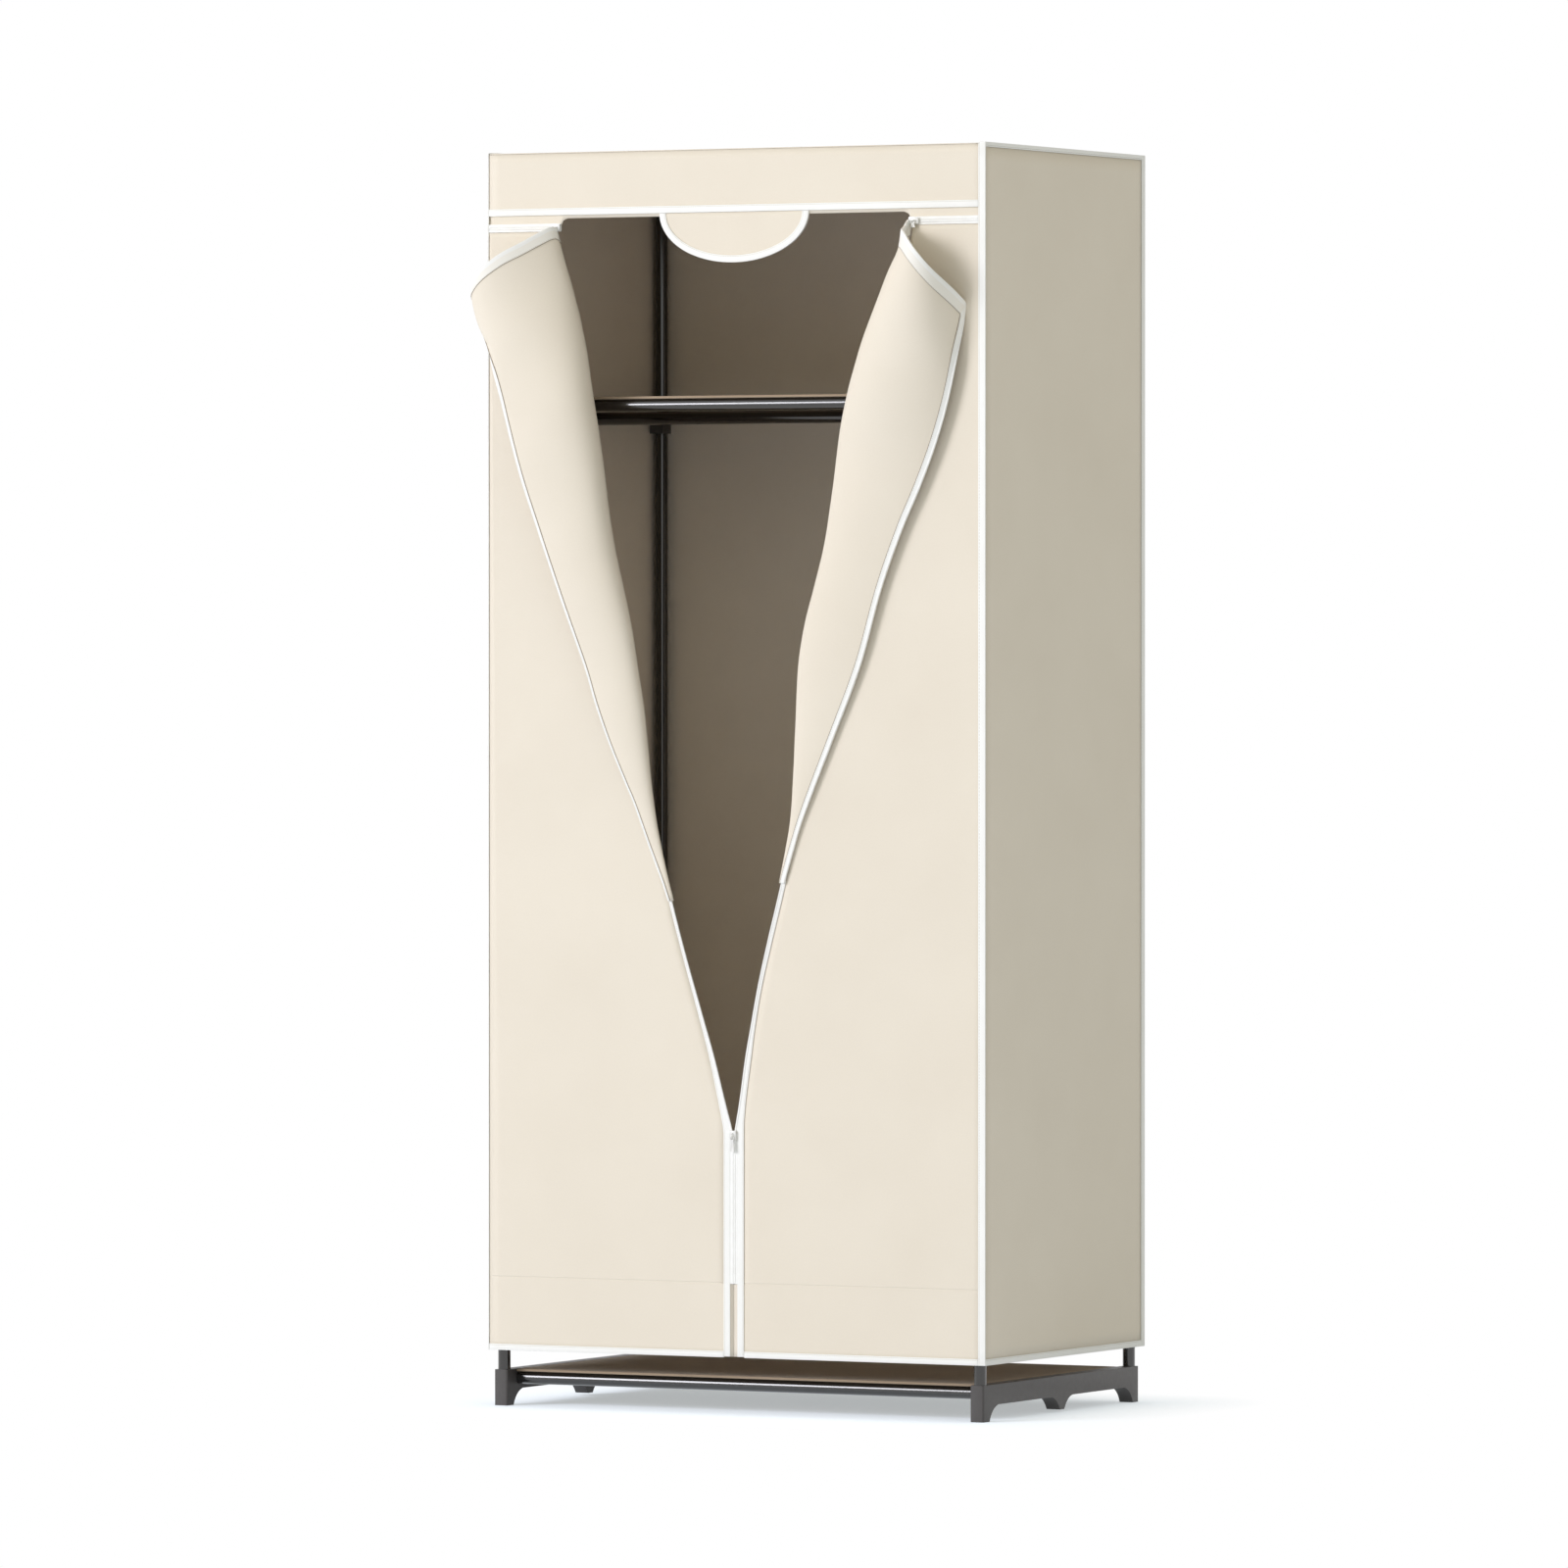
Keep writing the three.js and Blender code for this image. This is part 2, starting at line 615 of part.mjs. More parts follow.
function addLapel(name, shape) {
  const rollRows = steps(lapelRows).map((v) => steps(rollSteps).map((t) => rollPoint(shape, v, t * Math.PI)));
  place(`lapel_roll_${name}`, sheetFor(shape, rollRows, clothThickness), materials.cover);

  const foldHeight = foldPoint(shape, 1).z - foldPoint(shape, 0).z;
  const topShare = 1 - lapelTopTapeWidth / foldHeight;
  const clothShare = topShare - seatGap / foldHeight;
  const clothRows = steps(lapelRows).map((t) => {
    const v = t * clothShare;
    const reach = lapelWidth(shape, v) - lapelTapeWidth - seatGap;
    return steps(lapelColumns).map((s) => lapelPoint(shape, v, lapelSeamGap + (reach - lapelSeamGap) * s));
  });
  place(`lapel_${name}`, sheetFor(shape, clothRows, clothThickness), materials.cover);

  const upTheEdge = steps(lapelRows).map((t) => [
    lapelPoint(shape, t * topShare, lapelWidth(shape, t * topShare) - lapelTapeWidth),
    lapelPoint(shape, t, lapelWidth(shape, t)),
  ]);
  const lowReach = lapelWidth(shape, topShare) - lapelTapeWidth - lapelSeamGap;
  const highReach = lapelWidth(shape, 1) - lapelSeamGap;
  const alongTheTop = steps(lapelColumns).slice(1).map((t) => [
    lapelPoint(shape, topShare, lapelSeamGap + lowReach * (1 - t)),
    lapelPoint(shape, 1, lapelSeamGap + highReach * (1 - t)),
  ]);
  const tape = sheetFor(shape, [...upTheEdge, ...alongTheTop], lapelTapeThickness);
  place(`lapel_tape_${name}`, tape, materials.binding);
}

// Points a given distance to the side of a bent line in X and Z, with a mitred corner
function besideLine(points, distance) {
  return points.map((point, i) => {
    const before = points[Math.max(i - 1, 0)];
    const after = points[Math.min(i + 1, points.length - 1)];
    const turnIn = i > 0 ? new THREE.Vector2(point[0] - before[0], point[1] - before[1]).normalize() : null;
    const turnOut = i < points.length - 1
      ? new THREE.Vector2(after[0] - point[0], after[1] - point[1]).normalize() : null;
    const first = turnIn ?? turnOut;
    const second = turnOut ?? turnIn;
    const sideways = new THREE.Vector2(-first.y - second.y, first.x + second.x).normalize();
    const mitre = distance / sideways.dot(new THREE.Vector2(-first.y, first.x));
    return [point[0] + sideways.x * mitre, point[1] + sideways.y * mitre];
  });
}

// Inner edge of a door's zip tape: up beside the chain, then out along the open V to the lapel
function tapeInnerEdge(shape) {
  const fold = foldPoint(shape, 0);
  const lean = Math.abs(fold.x) / (fold.z - zipApexHeight);
  return [
    [-chainHalfWidth, wallBottom],
    [-chainHalfWidth, zipApexHeight + chainHalfWidth / lean],
    [-Math.abs(fold.x), fold.z],
  ];
}

// One door: the cloth that stays in the front plane, and the zip tape on its free edge below the lapel
function addDoor(name, shape) {
  const inner = tapeInnerEdge(shape);
  const outer = besideLine(inner, doorTapeWidth);
  const tape = outline([...inner, ...outer.reverse()]);
  const clothEdge = besideLine(inner, doorTapeCover);
  const foldEdge = steps(lapelRows).map((v) => [-Math.abs(foldPoint(shape, v).x), foldPoint(shape, v).z]);
  const stopLow = zipStopHeight - seatGap;
  const cloth = outline([
    [-clothHalfWidth, wallBottom],
    [-seatGap / 2, wallBottom],
    [-seatGap / 2, stopLow],
    [clothEdge[0][0], stopLow],
    clothEdge[1],
    ...foldEdge,
    [foldEdge[foldEdge.length - 1][0], doorTop],
    [-clothHalfWidth, doorTop],
  ]);
  const plates = [
    [`door_${name}`, plateInFront(cloth, clothFront, clothThickness), materials.cover],
    [`door_tape_${name}`, plateInFront(tape, tapeFront, tapeThickness), materials.binding],
  ];
  for (const [nodeName, geometry, material] of plates) {
    const bare = geometry.deleteAttribute('normal').deleteAttribute('uv');
    const indexed = mergeVertices(bare, mergeDistance);
    indexed.computeVertexNormals();
    place(nodeName, shape.side < 0 ? indexed : mirroredInX(indexed), material);
  }
}

// Closed zip: the chain down the middle, and the two ends of the zip under the header
function addZips() {
  const chainHalf = chainHalfWidth - seatGap;
  const chain = boxBetween([-chainHalf, tapeFront, zipStopHeight],
    [chainHalf, tapeFront + chainThickness, zipApexHeight]);
  place('zip_chain_centre', chain, materials.zip);

  const innerEnd = headerSliderSetOut - sliderLength / 2;
  const low = doorTop + seatGap;
  const back = zipFace + zipBandThickness;
  const rightZip = boxBetween([innerEnd, zipFace, low], [cornerInside - seatGap, back, low + zipBandHeight]);
  place('header_zip_right', rightZip, materials.zip);
  const leftZip = boxBetween([-leftFrontEnd, zipFace, low], [-innerEnd, back, low + zipBandHeight]);
  place('header_zip_left', leftZip, materials.zip);
}

// A slider: a body on the chain with a bail standing in front of it. Its back is at y 0.
function sliderGeometry(width, height) {
  const body = solidOf(boxBetween([-width / 2, -sliderThickness, -height / 2], [width / 2, 0, height / 2]));
  const front = -sliderThickness - bailRise;
  const half = bailWidth / 2;
  const end = bailLength / 2;
  const rooted = -sliderThickness / 2;
  const bail = solidOf(boxBetween([-half, front, -end], [half, rooted, end]))
    .subtract(solidOf(boxBetween([-half - cutOverrun, front + bailWire, bailWire - end],
      [half + cutOverrun, rooted + cutOverrun, end - bailWire])));
  return geometryOf(body.add(bail));
}

// A pull: its top bar goes through the bail and is the axis that it swings about, at the origin
function pullGeometry(length) {
  const half = pullWidth / 2;
  const bar = pullThickness / 2;
  const plate = solidOf(boxBetween([-half, -bar, bar - length], [half, bar, bar]));
  const eye = solidOf(boxBetween([-pullEyeWidth / 2, -bar - cutOverrun, -bar - pullEyeLength],
    [pullEyeWidth / 2, bar + cutOverrun, -bar]));
  return geometryOf(plate.subtract(eye));
}

function addSliders() {
  const axisForward = sliderThickness + (bailRise - bailWire) / 2;
  const headerBack = zipFace - seatGap;
  const centreBack = tapeFront - seatGap;
  const centreHeight = zipApexHeight - sliderLength / 4;
  const places = [
    ['left', -headerSliderSetOut, headerBack, headerZipHeight, sliderLength, sliderWidth, headerPullLength],
    ['right', headerSliderSetOut, headerBack, headerZipHeight, sliderLength, sliderWidth, headerPullLength],
    ['centre', 0, centreBack, centreHeight, sliderWidth, sliderLength, centrePullLength],
  ];
  for (const [name, x, y, z, width, height, pullLength] of places) {
    place(`zip_slider_${name}`, sliderGeometry(width, height), materials.slider, x, y, z);
    place(`zip_pull_${name}`, pullGeometry(pullLength), materials.slider, x, y - axisForward, z);
  }
}

addBrackets();
addCrossTubes();
addPosts();
addShelfPanels();
addCoverPanels();
addBindings();
addTongue();
addDoor('left', lapelShapes.left);
addDoor('right', lapelShapes.right);
addLapel('left', lapelShapes.left);
addLapel('right', lapelShapes.right);
addZips();
addSliders();

// The origin is on the floor under the middle of everything, turned-back lapels included
const frontReach = edgeReach(lapelShapes.left, 1) - clothMiddle + lapelTapeThickness / 2;
wardrobe.position.y = (frontReach - halfDepth) / 2;

export default wardrobe;
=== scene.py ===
"""A portable fabric wardrobe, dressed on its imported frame.

Places are in millimetres of the cover unless a name says otherwise: x to the right, y backwards and
z up, from the middle of the cover's footprint. The function at() gives them in metres of the part.
"""

import logging
import math
from dataclasses import dataclass, field
from enum import Enum
from typing import Callable, Sequence

import bmesh
import bpy
from mathutils import Matrix, Vector, noise


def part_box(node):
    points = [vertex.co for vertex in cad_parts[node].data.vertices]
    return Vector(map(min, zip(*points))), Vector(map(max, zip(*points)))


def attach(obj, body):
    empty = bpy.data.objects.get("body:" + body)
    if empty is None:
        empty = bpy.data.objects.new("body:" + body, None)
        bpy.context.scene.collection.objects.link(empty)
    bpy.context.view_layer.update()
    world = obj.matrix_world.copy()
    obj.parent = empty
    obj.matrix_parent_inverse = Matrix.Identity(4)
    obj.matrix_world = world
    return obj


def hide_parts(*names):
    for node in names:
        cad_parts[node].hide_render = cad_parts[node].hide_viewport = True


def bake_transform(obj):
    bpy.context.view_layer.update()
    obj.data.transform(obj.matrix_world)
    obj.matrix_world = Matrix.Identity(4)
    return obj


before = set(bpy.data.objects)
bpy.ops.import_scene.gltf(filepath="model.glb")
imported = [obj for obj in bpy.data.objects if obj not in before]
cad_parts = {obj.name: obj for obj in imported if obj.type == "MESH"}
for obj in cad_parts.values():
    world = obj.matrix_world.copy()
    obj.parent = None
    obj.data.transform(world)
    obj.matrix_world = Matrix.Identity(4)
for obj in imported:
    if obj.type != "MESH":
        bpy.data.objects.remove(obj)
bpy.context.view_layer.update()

LOG = logging.getLogger("wardrobe")
FRONT = Vector((0.0, -1.0, 0.0))

# In metres: a millimetre, how far the cover's middle stands behind the part's, and how near two
# points are when they are one.
MM = 0.001
SET_BACK = 0.03055
SAME_PLACE = 1e-6

Mesh = bmesh.types.BMesh
Finish = bpy.types.Material
Socket = bpy.types.NodeSocket
Colour = tuple[int, int, int]
Pair = tuple[float, float]
Triple = tuple[float, float, float]
Table = tuple[Pair, ...]
Line = Callable[[float], Vector]
Place = Callable[[float, float], Vector]
Unwrap = Callable[[float, float, float], Pair]


class Side(Enum):
    """The half of the wardrobe that a piece belongs to."""

    LEFT = -1
    RIGHT = 1

    @property
    def label(self) -> str:
        """The word that ends the names of this side's pieces."""
        return self.name.lower()


class Slot(Enum):
    """Material slots."""

    TUBE = "steel_tube"
    BRACKET = "plastic_bracket"
    SHELF = "shelf_cloth"
    COVER = "cover_cloth"
    BINDING = "binding_tape"
    ZIP = "zip_chain"
    SLIDER = "slider_metal"


def at(x: float, y: float, z: float) -> Vector:
    """Moves a place in millimetres of the cover to metres of the part."""
    return Vector((x * MM, y * MM + SET_BACK, z * MM))


def smoothstep(value: float, low: float, high: float) -> float:
    """Rises smoothly from 0 at low to 1 at high.

    Args:
        value: Where to read the rise.
        low: Where the rise starts.
        high: Where it ends.

    Returns:
        A share from 0 to 1.
    """
    t = min(max((value - low) / (high - low), 0.0), 1.0)
    return t * t * (3 - 2 * t)


def mix(a: float, b: float, share: float) -> float:
    """A number between a and b."""
    return a + (b - a) * share


def curve(points: Table, value: float) -> float:
    """Reads a smooth curve through points.

    Args:
        points: Pairs of a place and the height there, in rising order of place.
        value: Where to read it.

    Returns:
        The curve's height.
    """
    last = len(points) - 1
    value = min(max(value, points[0][0]), points[last][0])
    i = max(k for k in range(last) if points[k][0] <= value)

    def slope(k: int) -> float:
        """Slope of the curve at point k."""
        before, after = points[max(k - 1, 0)], points[min(k + 1, last)]
        return (after[1] - before[1]) / (after[0] - before[0])

    (start, low), (end, high) = points[i], points[i + 1]
    span = end - start
    t = (value - start) / span
    ease = t * t * (3 - 2 * t)
    bend = span * (slope(i) * t * (1 - t) ** 2 - slope(i + 1) * t * t * (1 - t))
    return mix(low, high, ease) + bend


def bezier(knots: Sequence[Vector], t: float) -> Vector:
    """A point of a cubic Bezier curve."""
    weights = ((1 - t) ** 3, 3 * t * (1 - t) ** 2, 3 * t * t * (1 - t), t**3)
    return sum((knot * weight for knot, weight in zip(knots, weights)), Vector((0.0, 0.0)))


def spread(start: float, end: float, count: int) -> list[float]:
    """Even steps from start to end, without the start."""
    return [mix(start, end, (i + 1) / count) for i in range(count)]


@dataclass(frozen=True)
class Wave:
    """Slow waves of loose cloth: depth and length in millimetres, and a seed of their own."""

    depth: float
    length: float
    seed: float

    def height(self, across: float, along: float, shift: float = 0.0) -> float:
        """The waves' height at a place on the cloth, with the seed shifted."""
        spot = (across / self.length, along / self.length, self.seed + shift)
        return self.depth * noise.noise(Vector(spot))


def linear(colour: Colour) -> tuple[float, float, float, float]:
    """Turns a colour of 0 to 255 as it shows on a screen into linear light.

    Args:
        colour: Red, green and blue.

    Returns:
        Linear red, green, blue and an alpha of 1.
    """
    shares = [part / 255 for part in colour]
    lit = [s / 12.92 if s <= 0.04045 else ((s + 0.055) / 1.055) ** 2.4 for s in shares]
    return (lit[0], lit[1], lit[2], 1.0)


class NodeBoard:
    """Adds and joins the nodes of one material."""

    def __init__(self, name: str) -> None:
        """Starts a material with its Principled shader.

        Args:
            name: The material's name.
        """
        self.material = bpy.data.materials.new(name)
        self.material.use_nodes = True
        self.tree = self.material.node_tree
        self.shader = self.tree.nodes["Principled BSDF"]

    def add(self, kind: str, inputs: dict | None = None, options: dict | None = None) -> bpy.types.Node:
        """Adds a node.

        Args:
            kind: The node's type, without its leading ShaderNode.
            inputs: A value or a socket for each input by name or number.
            options: Settings of the node itself.

        Returns:
            The new node.
        """
        node = self.tree.nodes.new("ShaderNode" + kind)
        for key, value in (options or {}).items():
            setattr(node, key, value)
        for key, value in (inputs or {}).items():
            self.feed(node, key, value)
        return node

    def feed(self, node: bpy.types.Node, key: str | int, value: object) -> None:
        """Sets an input, or joins a socket to it.

        Args:
            node: The node that takes the value.
            key: Name or number of its input.
            value: A plain value or another node's output.
        """
        if isinstance(value, Socket):
            self.tree.links.new(value, node.inputs[key])
        else:
            node.inputs[key].default_value = value

    def sum(self, operation: str, *values: object) -> Socket:
        """A Math node's result for these values."""
        return self.add("Math", dict(enumerate(values)), {"operation": operation}).outputs[0]

    def tint(self, share: object, first: object, second: object) -> Socket:
        """Mixes two colours.

        Args:
            share: How much of the second colour shows.
            first: The colour at 0.
            second: The colour at 1.

        Returns:
            The mixed colour's socket.
        """
        inputs = {0: share, 6: first, 7: second}
        return self.add("Mix", inputs, {"data_type": "RGBA"}).outputs[2]

    def capped(self, share: object) -> Socket:
        """A share kept from 0 to 1."""
        return self.sum("MINIMUM", self.sum("MAXIMUM", share, 0.0), 1.0)

    def colour(self, share: object, first: Colour, second: Colour) -> None:
        """Colours the shader, with the first colour at a share of 0 and the second at 1."""
        self.feed(self.shader, "Base Color", self.tint(share, linear(first), linear(second)))

    def place(self, on_cloth: bool) -> Socket:
        """The piece's own coordinates: its UV map on cloth, or else its object's."""
        return self.add("TexCoord").outputs["UV" if on_cloth else "Object"]

    def cloud(self, where: object, scale: float, detail: float = 3.0) -> Socket:
        """Noise from 0 to 1.

        Args:
            where: The coordinates it reads.
            scale: How many patches there are to a metre.
            detail: How many finer layers it has.

        Returns:
            The noise's socket.
        """
        inputs = {"Vector": where, "Scale": scale, "Detail": detail}
        return self.add("TexNoise", inputs).outputs[0]

    def threads(self, where: object, axis: str, pitch: float) -> Socket:
        """Parallel threads.

        Args:
            where: The coordinates they read.
            axis: X, Y or DIAGONAL, the way across the threads.
            pitch: Distance from thread to thread in metres.

        Returns:
            The threads' height, from 0 to 1.
        """
        inputs = {"Vector": where, "Scale": math.pi / 10 / pitch}
        return self.add("TexWave", inputs, {"bands_direction": axis}).outputs["Fac"]

    def bump(self, height: object, strength: float, depth: float) -> None:
        """Gives the shader a relief.

        Args:
            height: The height's socket.
            strength: How much of the relief shows.
            depth: Its depth in metres at a height of 1.
        """
        inputs = {"Height": height, "Strength": strength, "Distance": depth}
        self.feed(self.shader, "Normal", self.add("Bump", inputs).outputs[0])

    def done(self, **constants: float) -> Finish:
        """Sets plain numbers on the shader's own sockets.

        Args:
            constants: Values by socket name, with underscores for spaces.

        Returns:
            The finished material.
        """
        for key, value in constants.items():
            self.shader.inputs[key.replace("_", " ")].default_value = value
        return self.material


@dataclass(frozen=True)
class WovenCloth:
    """Plain-woven cover cloth with slow mottling. Patches and yarns are counted to a metre."""

    name: str
    light: Colour
    dark: Colour
    pitch: float = 0.0011
    slub: float = 0.35
    patches: float = 7.0
    yarns: float = 420.0
    relief: float = 0.00025

    def material(self) -> Finish:
        """Builds the cloth: crossed threads with painted shade in their hollows, uneven yarn and patches.

        Returns:
            The finished material.
        """
        board = NodeBoard(self.name)
        cloth = board.place(on_cloth=True)
        patches = board.cloud(board.place(on_cloth=False), self.patches, 4.0)
        yarn = board.cloud(cloth, self.yarns, 2.0)
        warp = board.threads(cloth, "X", self.pitch)
        weft = board.threads(cloth, "Y", self.pitch)
        weave = board.sum("MAXIMUM", warp, weft)
        # Painted shade: the colour darkens where the crossed threads dip, between them.
        thread_hollow_shade = board.sum("MULTIPLY", board.sum("SUBTRACT", 1.0, weave), 0.5)
        worn = board.sum("MULTIPLY", board.sum("SUBTRACT", patches, 0.35), 0.9)
        uneven = board.sum("MULTIPLY", yarn, self.slub)
        share = board.sum("ADD", board.sum("ADD", thread_hollow_shade, worn), uneven)
        board.colour(board.capped(share), self.light, self.dark)
        board.feed(board.shader, "Roughness", board.sum("MULTIPLY_ADD", yarn, 0.12, 0.8))
        board.bump(board.sum("MULTIPLY_ADD", yarn, 0.5, weave), 0.3, self.relief)
        return board.done(Sheen_Weight=0.08, Sheen_Roughness=0.5, Specular_IOR_Level=0.3)


@dataclass(frozen=True)
class StitchedTape:
    """Twill binding tape with a row of stitches, and a dark line painted where it meets the cloth: a
    painted shadow of its sewn edge.

    Lengths are in metres, and patches are counted to a metre.
    """

    name: str
    light: Colour
    dark: Colour
    thread: Colour
    # The next two fields give the colour and width of a painted shadow along the edge where the tape meets
    # the cloth.
    line: Colour = (146, 131, 112)
    seam_shadow_width: float = 0.0
    twill: float = 0.0009
    stitch: float = 0.0031
    stitch_inset: float = 0.0016
    stitch_half: float = 0.00038
    stitch_share: float = 0.36
    patches: float = 16.0
    relief: float = 0.0002

    def material(self) -> Finish:
        """Builds the tape: diagonal ribs with painted shade in their hollows, soft soiling, dashes of
        thread and a painted shadow line along its sewn edge.

        Returns:
            The finished material.
        """
        board = NodeBoard(self.name)
        tape = board.place(on_cloth=True)
        split = board.add("SeparateXYZ", {0: tape})
        ribs = board.threads(tape, "DIAGONAL", self.twill)
        patches = board.cloud(board.place(on_cloth=False), self.patches, 4.0)
        along = board.sum("FRACT", board.sum("DIVIDE", split.outputs[0], self.stitch))
        dash = board.sum("COMPARE", along, 0.5, self.stitch_share)
        row = board.sum("COMPARE", split.outputs[1], self.stitch_inset, self.stitch_half)
        sewn = board.sum("MULTIPLY", dash, row)
        # Darker in the ribs' hollows, which is painted shade, and in the soiled patches, which is dirt.
        dull = board.sum("MULTIPLY_ADD", board.sum("SUBTRACT", 1.0, ribs), 0.35, patches)
        rib_shade_and_soil = board.sum("MULTIPLY", board.sum("SUBTRACT", dull, 0.4), 0.8)
        colour = board.tint(board.capped(rib_shade_and_soil), linear(self.light), linear(self.dark))
        # Painted shadow: a dark line along the edge of the tape that meets the cloth.
        seam = board.sum("LESS_THAN", split.outputs[1], self.seam_shadow_width)
        with_seam_shadow = board.tint(seam, board.tint(sewn, colour, linear(self.thread)), linear(self.line))
        board.feed(board.shader, "Base Color", with_seam_shadow)
        board.bump(board.sum("MULTIPLY_ADD", sewn, 2.0, ribs), 0.35, self.relief)
        return board.done(Roughness=0.72, Sheen_Weight=0.1, Specular_IOR_Level=0.35)


@dataclass(frozen=True)
class FeltBoard:
    """Non-woven cloth pressed over a shelf board. What it shows is counted to a metre."""

    name: str
    light: Colour
    dark: Colour
    fibres: float = 700.0
    patches: float = 9.0
    dots: float = 480.0
    relief: float = 0.0003

    def material(self) -> Finish:
        """Builds the felt: pressed dots, fibres and wide patches.

        Returns:
            The finished material.
        """
        board = NodeBoard(self.name)
        where = board.place(on_cloth=False)
        fibres = board.cloud(where, self.fibres, 5.0)
        patches = board.cloud(where, self.patches, 3.0)
        dots = board.add("TexVoronoi", {"Vector": where, "Scale": self.dots}).outputs["Distance"]
        share = board.sum("MULTIPLY_ADD", fibres, 0.7, board.sum("MULTIPLY", patches, 0.5))
        board.colour(board.sum("SUBTRACT", share, 0.1), self.dark, self.light)
        board.bump(board.sum("MULTIPLY_ADD", fibres, 0.6, dots), 0.45, self.relief)
        return board.done(Roughness=0.9, Sheen_Weight=0.15, Specular_IOR_Level=0.25)


@dataclass(frozen=True)
class PowderCoat:
    """Glossy black coat on steel tube. What it shows is counted to a metre."""

    name: str
    light: Colour
    dark: Colour
    peel: float = 260.0
    dust: float = 34.0
    rubs: Triple = (4.0, 4.0, 900.0)
    relief: float = 0.0003

    def material(self) -> Finish:
        """Builds the coat: faint orange peel, dust and fine rubbing marks.

        Returns:
            The finished material.
        """
        board = NodeBoard(self.name)
        where = board.place(on_cloth=False)
        peel = board.cloud(where, self.peel, 2.0)
        dust = board.cloud(where, self.dust, 6.0)
        stretched = board.add("Mapping", {"Vector": where, "Scale": self.rubs})
        rubs = board.cloud(stretched.outputs[0], 1.0, 2.0)
        board.colour(board.sum("MULTIPLY", dust, 0.8), self.dark, self.light)
        dull = board.sum("MULTIPLY_ADD", dust, 0.1, board.sum("MULTIPLY_ADD", rubs, 0.04, 0.1))
        board.feed(board.shader, "Roughness", dull)
        board.bump(peel, 0.12, self.relief)
        return board.done(Metallic=0.0, Coat_Weight=1.0, Coat_Roughness=0.11, Specular_IOR_Level=0.5)


@dataclass(frozen=True)
class MouldedPlastic:
    """Fine-grained grey moulding. What it shows is counted to a metre."""

    name: str
    light: Colour
    dark: Colour
    grain: float = 1300.0
    flow: float = 11.0
    scuffs: float = 120.0
    relief: float = 0.0002

    def material(self) -> Finish:
        """Builds the plastic: spark grain, flow marks and scuffs.

        Returns:
            The finished material.
        """
        board = NodeBoard(self.name)
        where = board.place(on_cloth=False)
        grain = board.add("TexVoronoi", {"Vector": where, "Scale": self.grain}).outputs["Distance"]
        flow = board.cloud(where, self.flow, 5.0)
        scuffs = board.cloud(where, self.scuffs, 6.0)
        share = board.sum("MULTIPLY_ADD", scuffs, 0.35, board.sum("MULTIPLY", flow, 0.6))
        board.colour(share, self.dark, self.light)
        board.feed(board.shader, "Roughness", board.sum("MULTIPLY_ADD", scuffs, 0.2, 0.34))
        board.bump(board.sum("MULTIPLY_ADD", scuffs, 0.4, grain), 0.3, self.relief)
        return board.done(Specular_IOR_Level=0.6)


@dataclass(frozen=True)
class PaleTrim:
    """White nylon of the zips, or white enamel of their sliders. Marks are counted to a metre."""

    name: str
    light: Colour
    dark: Colour
    roughness: float
    coat: float
    wear: float = 90.0
    grain: float = 1800.0
    relief: float = 0.0001

    def material(self) -> Finish:
        """Builds the trim: a little wear, uneven gloss and a fine relief.

        Returns:
            The finished material.
        """
        board = NodeBoard(self.name)
        where = board.place(on_cloth=False)
        wear = board.cloud(where, self.wear, 5.0)
        grain = board.cloud(where, self.grain, 2.0)
        share = board.sum("MULTIPLY", board.sum("SUBTRACT", wear, 0.3), 1.1)
        board.colour(board.capped(share), self.light, self.dark)
        gloss = board.sum("MULTIPLY_ADD", wear, 0.2, self.roughness - 0.1)
        board.feed(board.shader, "Roughness", gloss)
        board.bump(grain, 0.15, self.relief)
        return board.done(Coat_Weight=self.coat, Coat_Roughness=0.15, Specular_IOR_Level=0.5)


@dataclass(frozen=True)
class Palette:
    """Every finish of the wardrobe, built once."""

    cover: Finish
    lining: Finish
    tape: Finish
    lapel_tape: Finish
    lapel_inner_tape: Finish
    shelf: Finish
    tube: Finish
    bracket: Finish
    zip: Finish
    slider: Finish

    @classmethod
    def mixed(cls) -> "Palette":
        """Mixes the finishes in the photographed colours.

        Returns:
            The palette with all of them.
        """
        white, soiled, thread = (254, 254, 251), (244, 243, 237), (224, 221, 212)
        inner = ((250, 247, 239), (241, 237, 227), (216, 211, 200))
        # The lapel tapes get a painted shadow line where they meet the cloth.
        sewn = {"seam_shadow_width": 0.0007}
        return cls(
            cover=WovenCloth("cover_cloth", (242, 233, 217), (233, 223, 206)).material(),
            # Painted light: the cover cloth's inner face is made lighter than its outer face, to brighten
            # the dim inside of the cover.
            lining=WovenCloth("cover_lining", (250, 240, 225), (240, 229, 213)).material(),
            tape=StitchedTape("binding_tape", white, soiled, thread).material(),
            lapel_tape=StitchedTape("lapel_tape", white, soiled, thread, **sewn).material(),
            lapel_inner_tape=StitchedTape("lapel_inner_tape", *inner, **sewn).material(),
            shelf=FeltBoard("shelf_cloth", (188, 168, 144), (148, 129, 108)).material(),
            tube=PowderCoat("steel_tube", (34, 31, 29), (15, 13, 12)).material(),
            bracket=MouldedPlastic("plastic_bracket", (73, 69, 67), (53, 50, 49)).material(),
            zip=PaleTrim("zip_chain", (253, 253, 250), (240, 239, 235), 0.45, 0.0).material(),
            slider=PaleTrim("slider_metal", (240, 240, 237), (214, 213, 209), 0.32, 0.5).material(),
        )


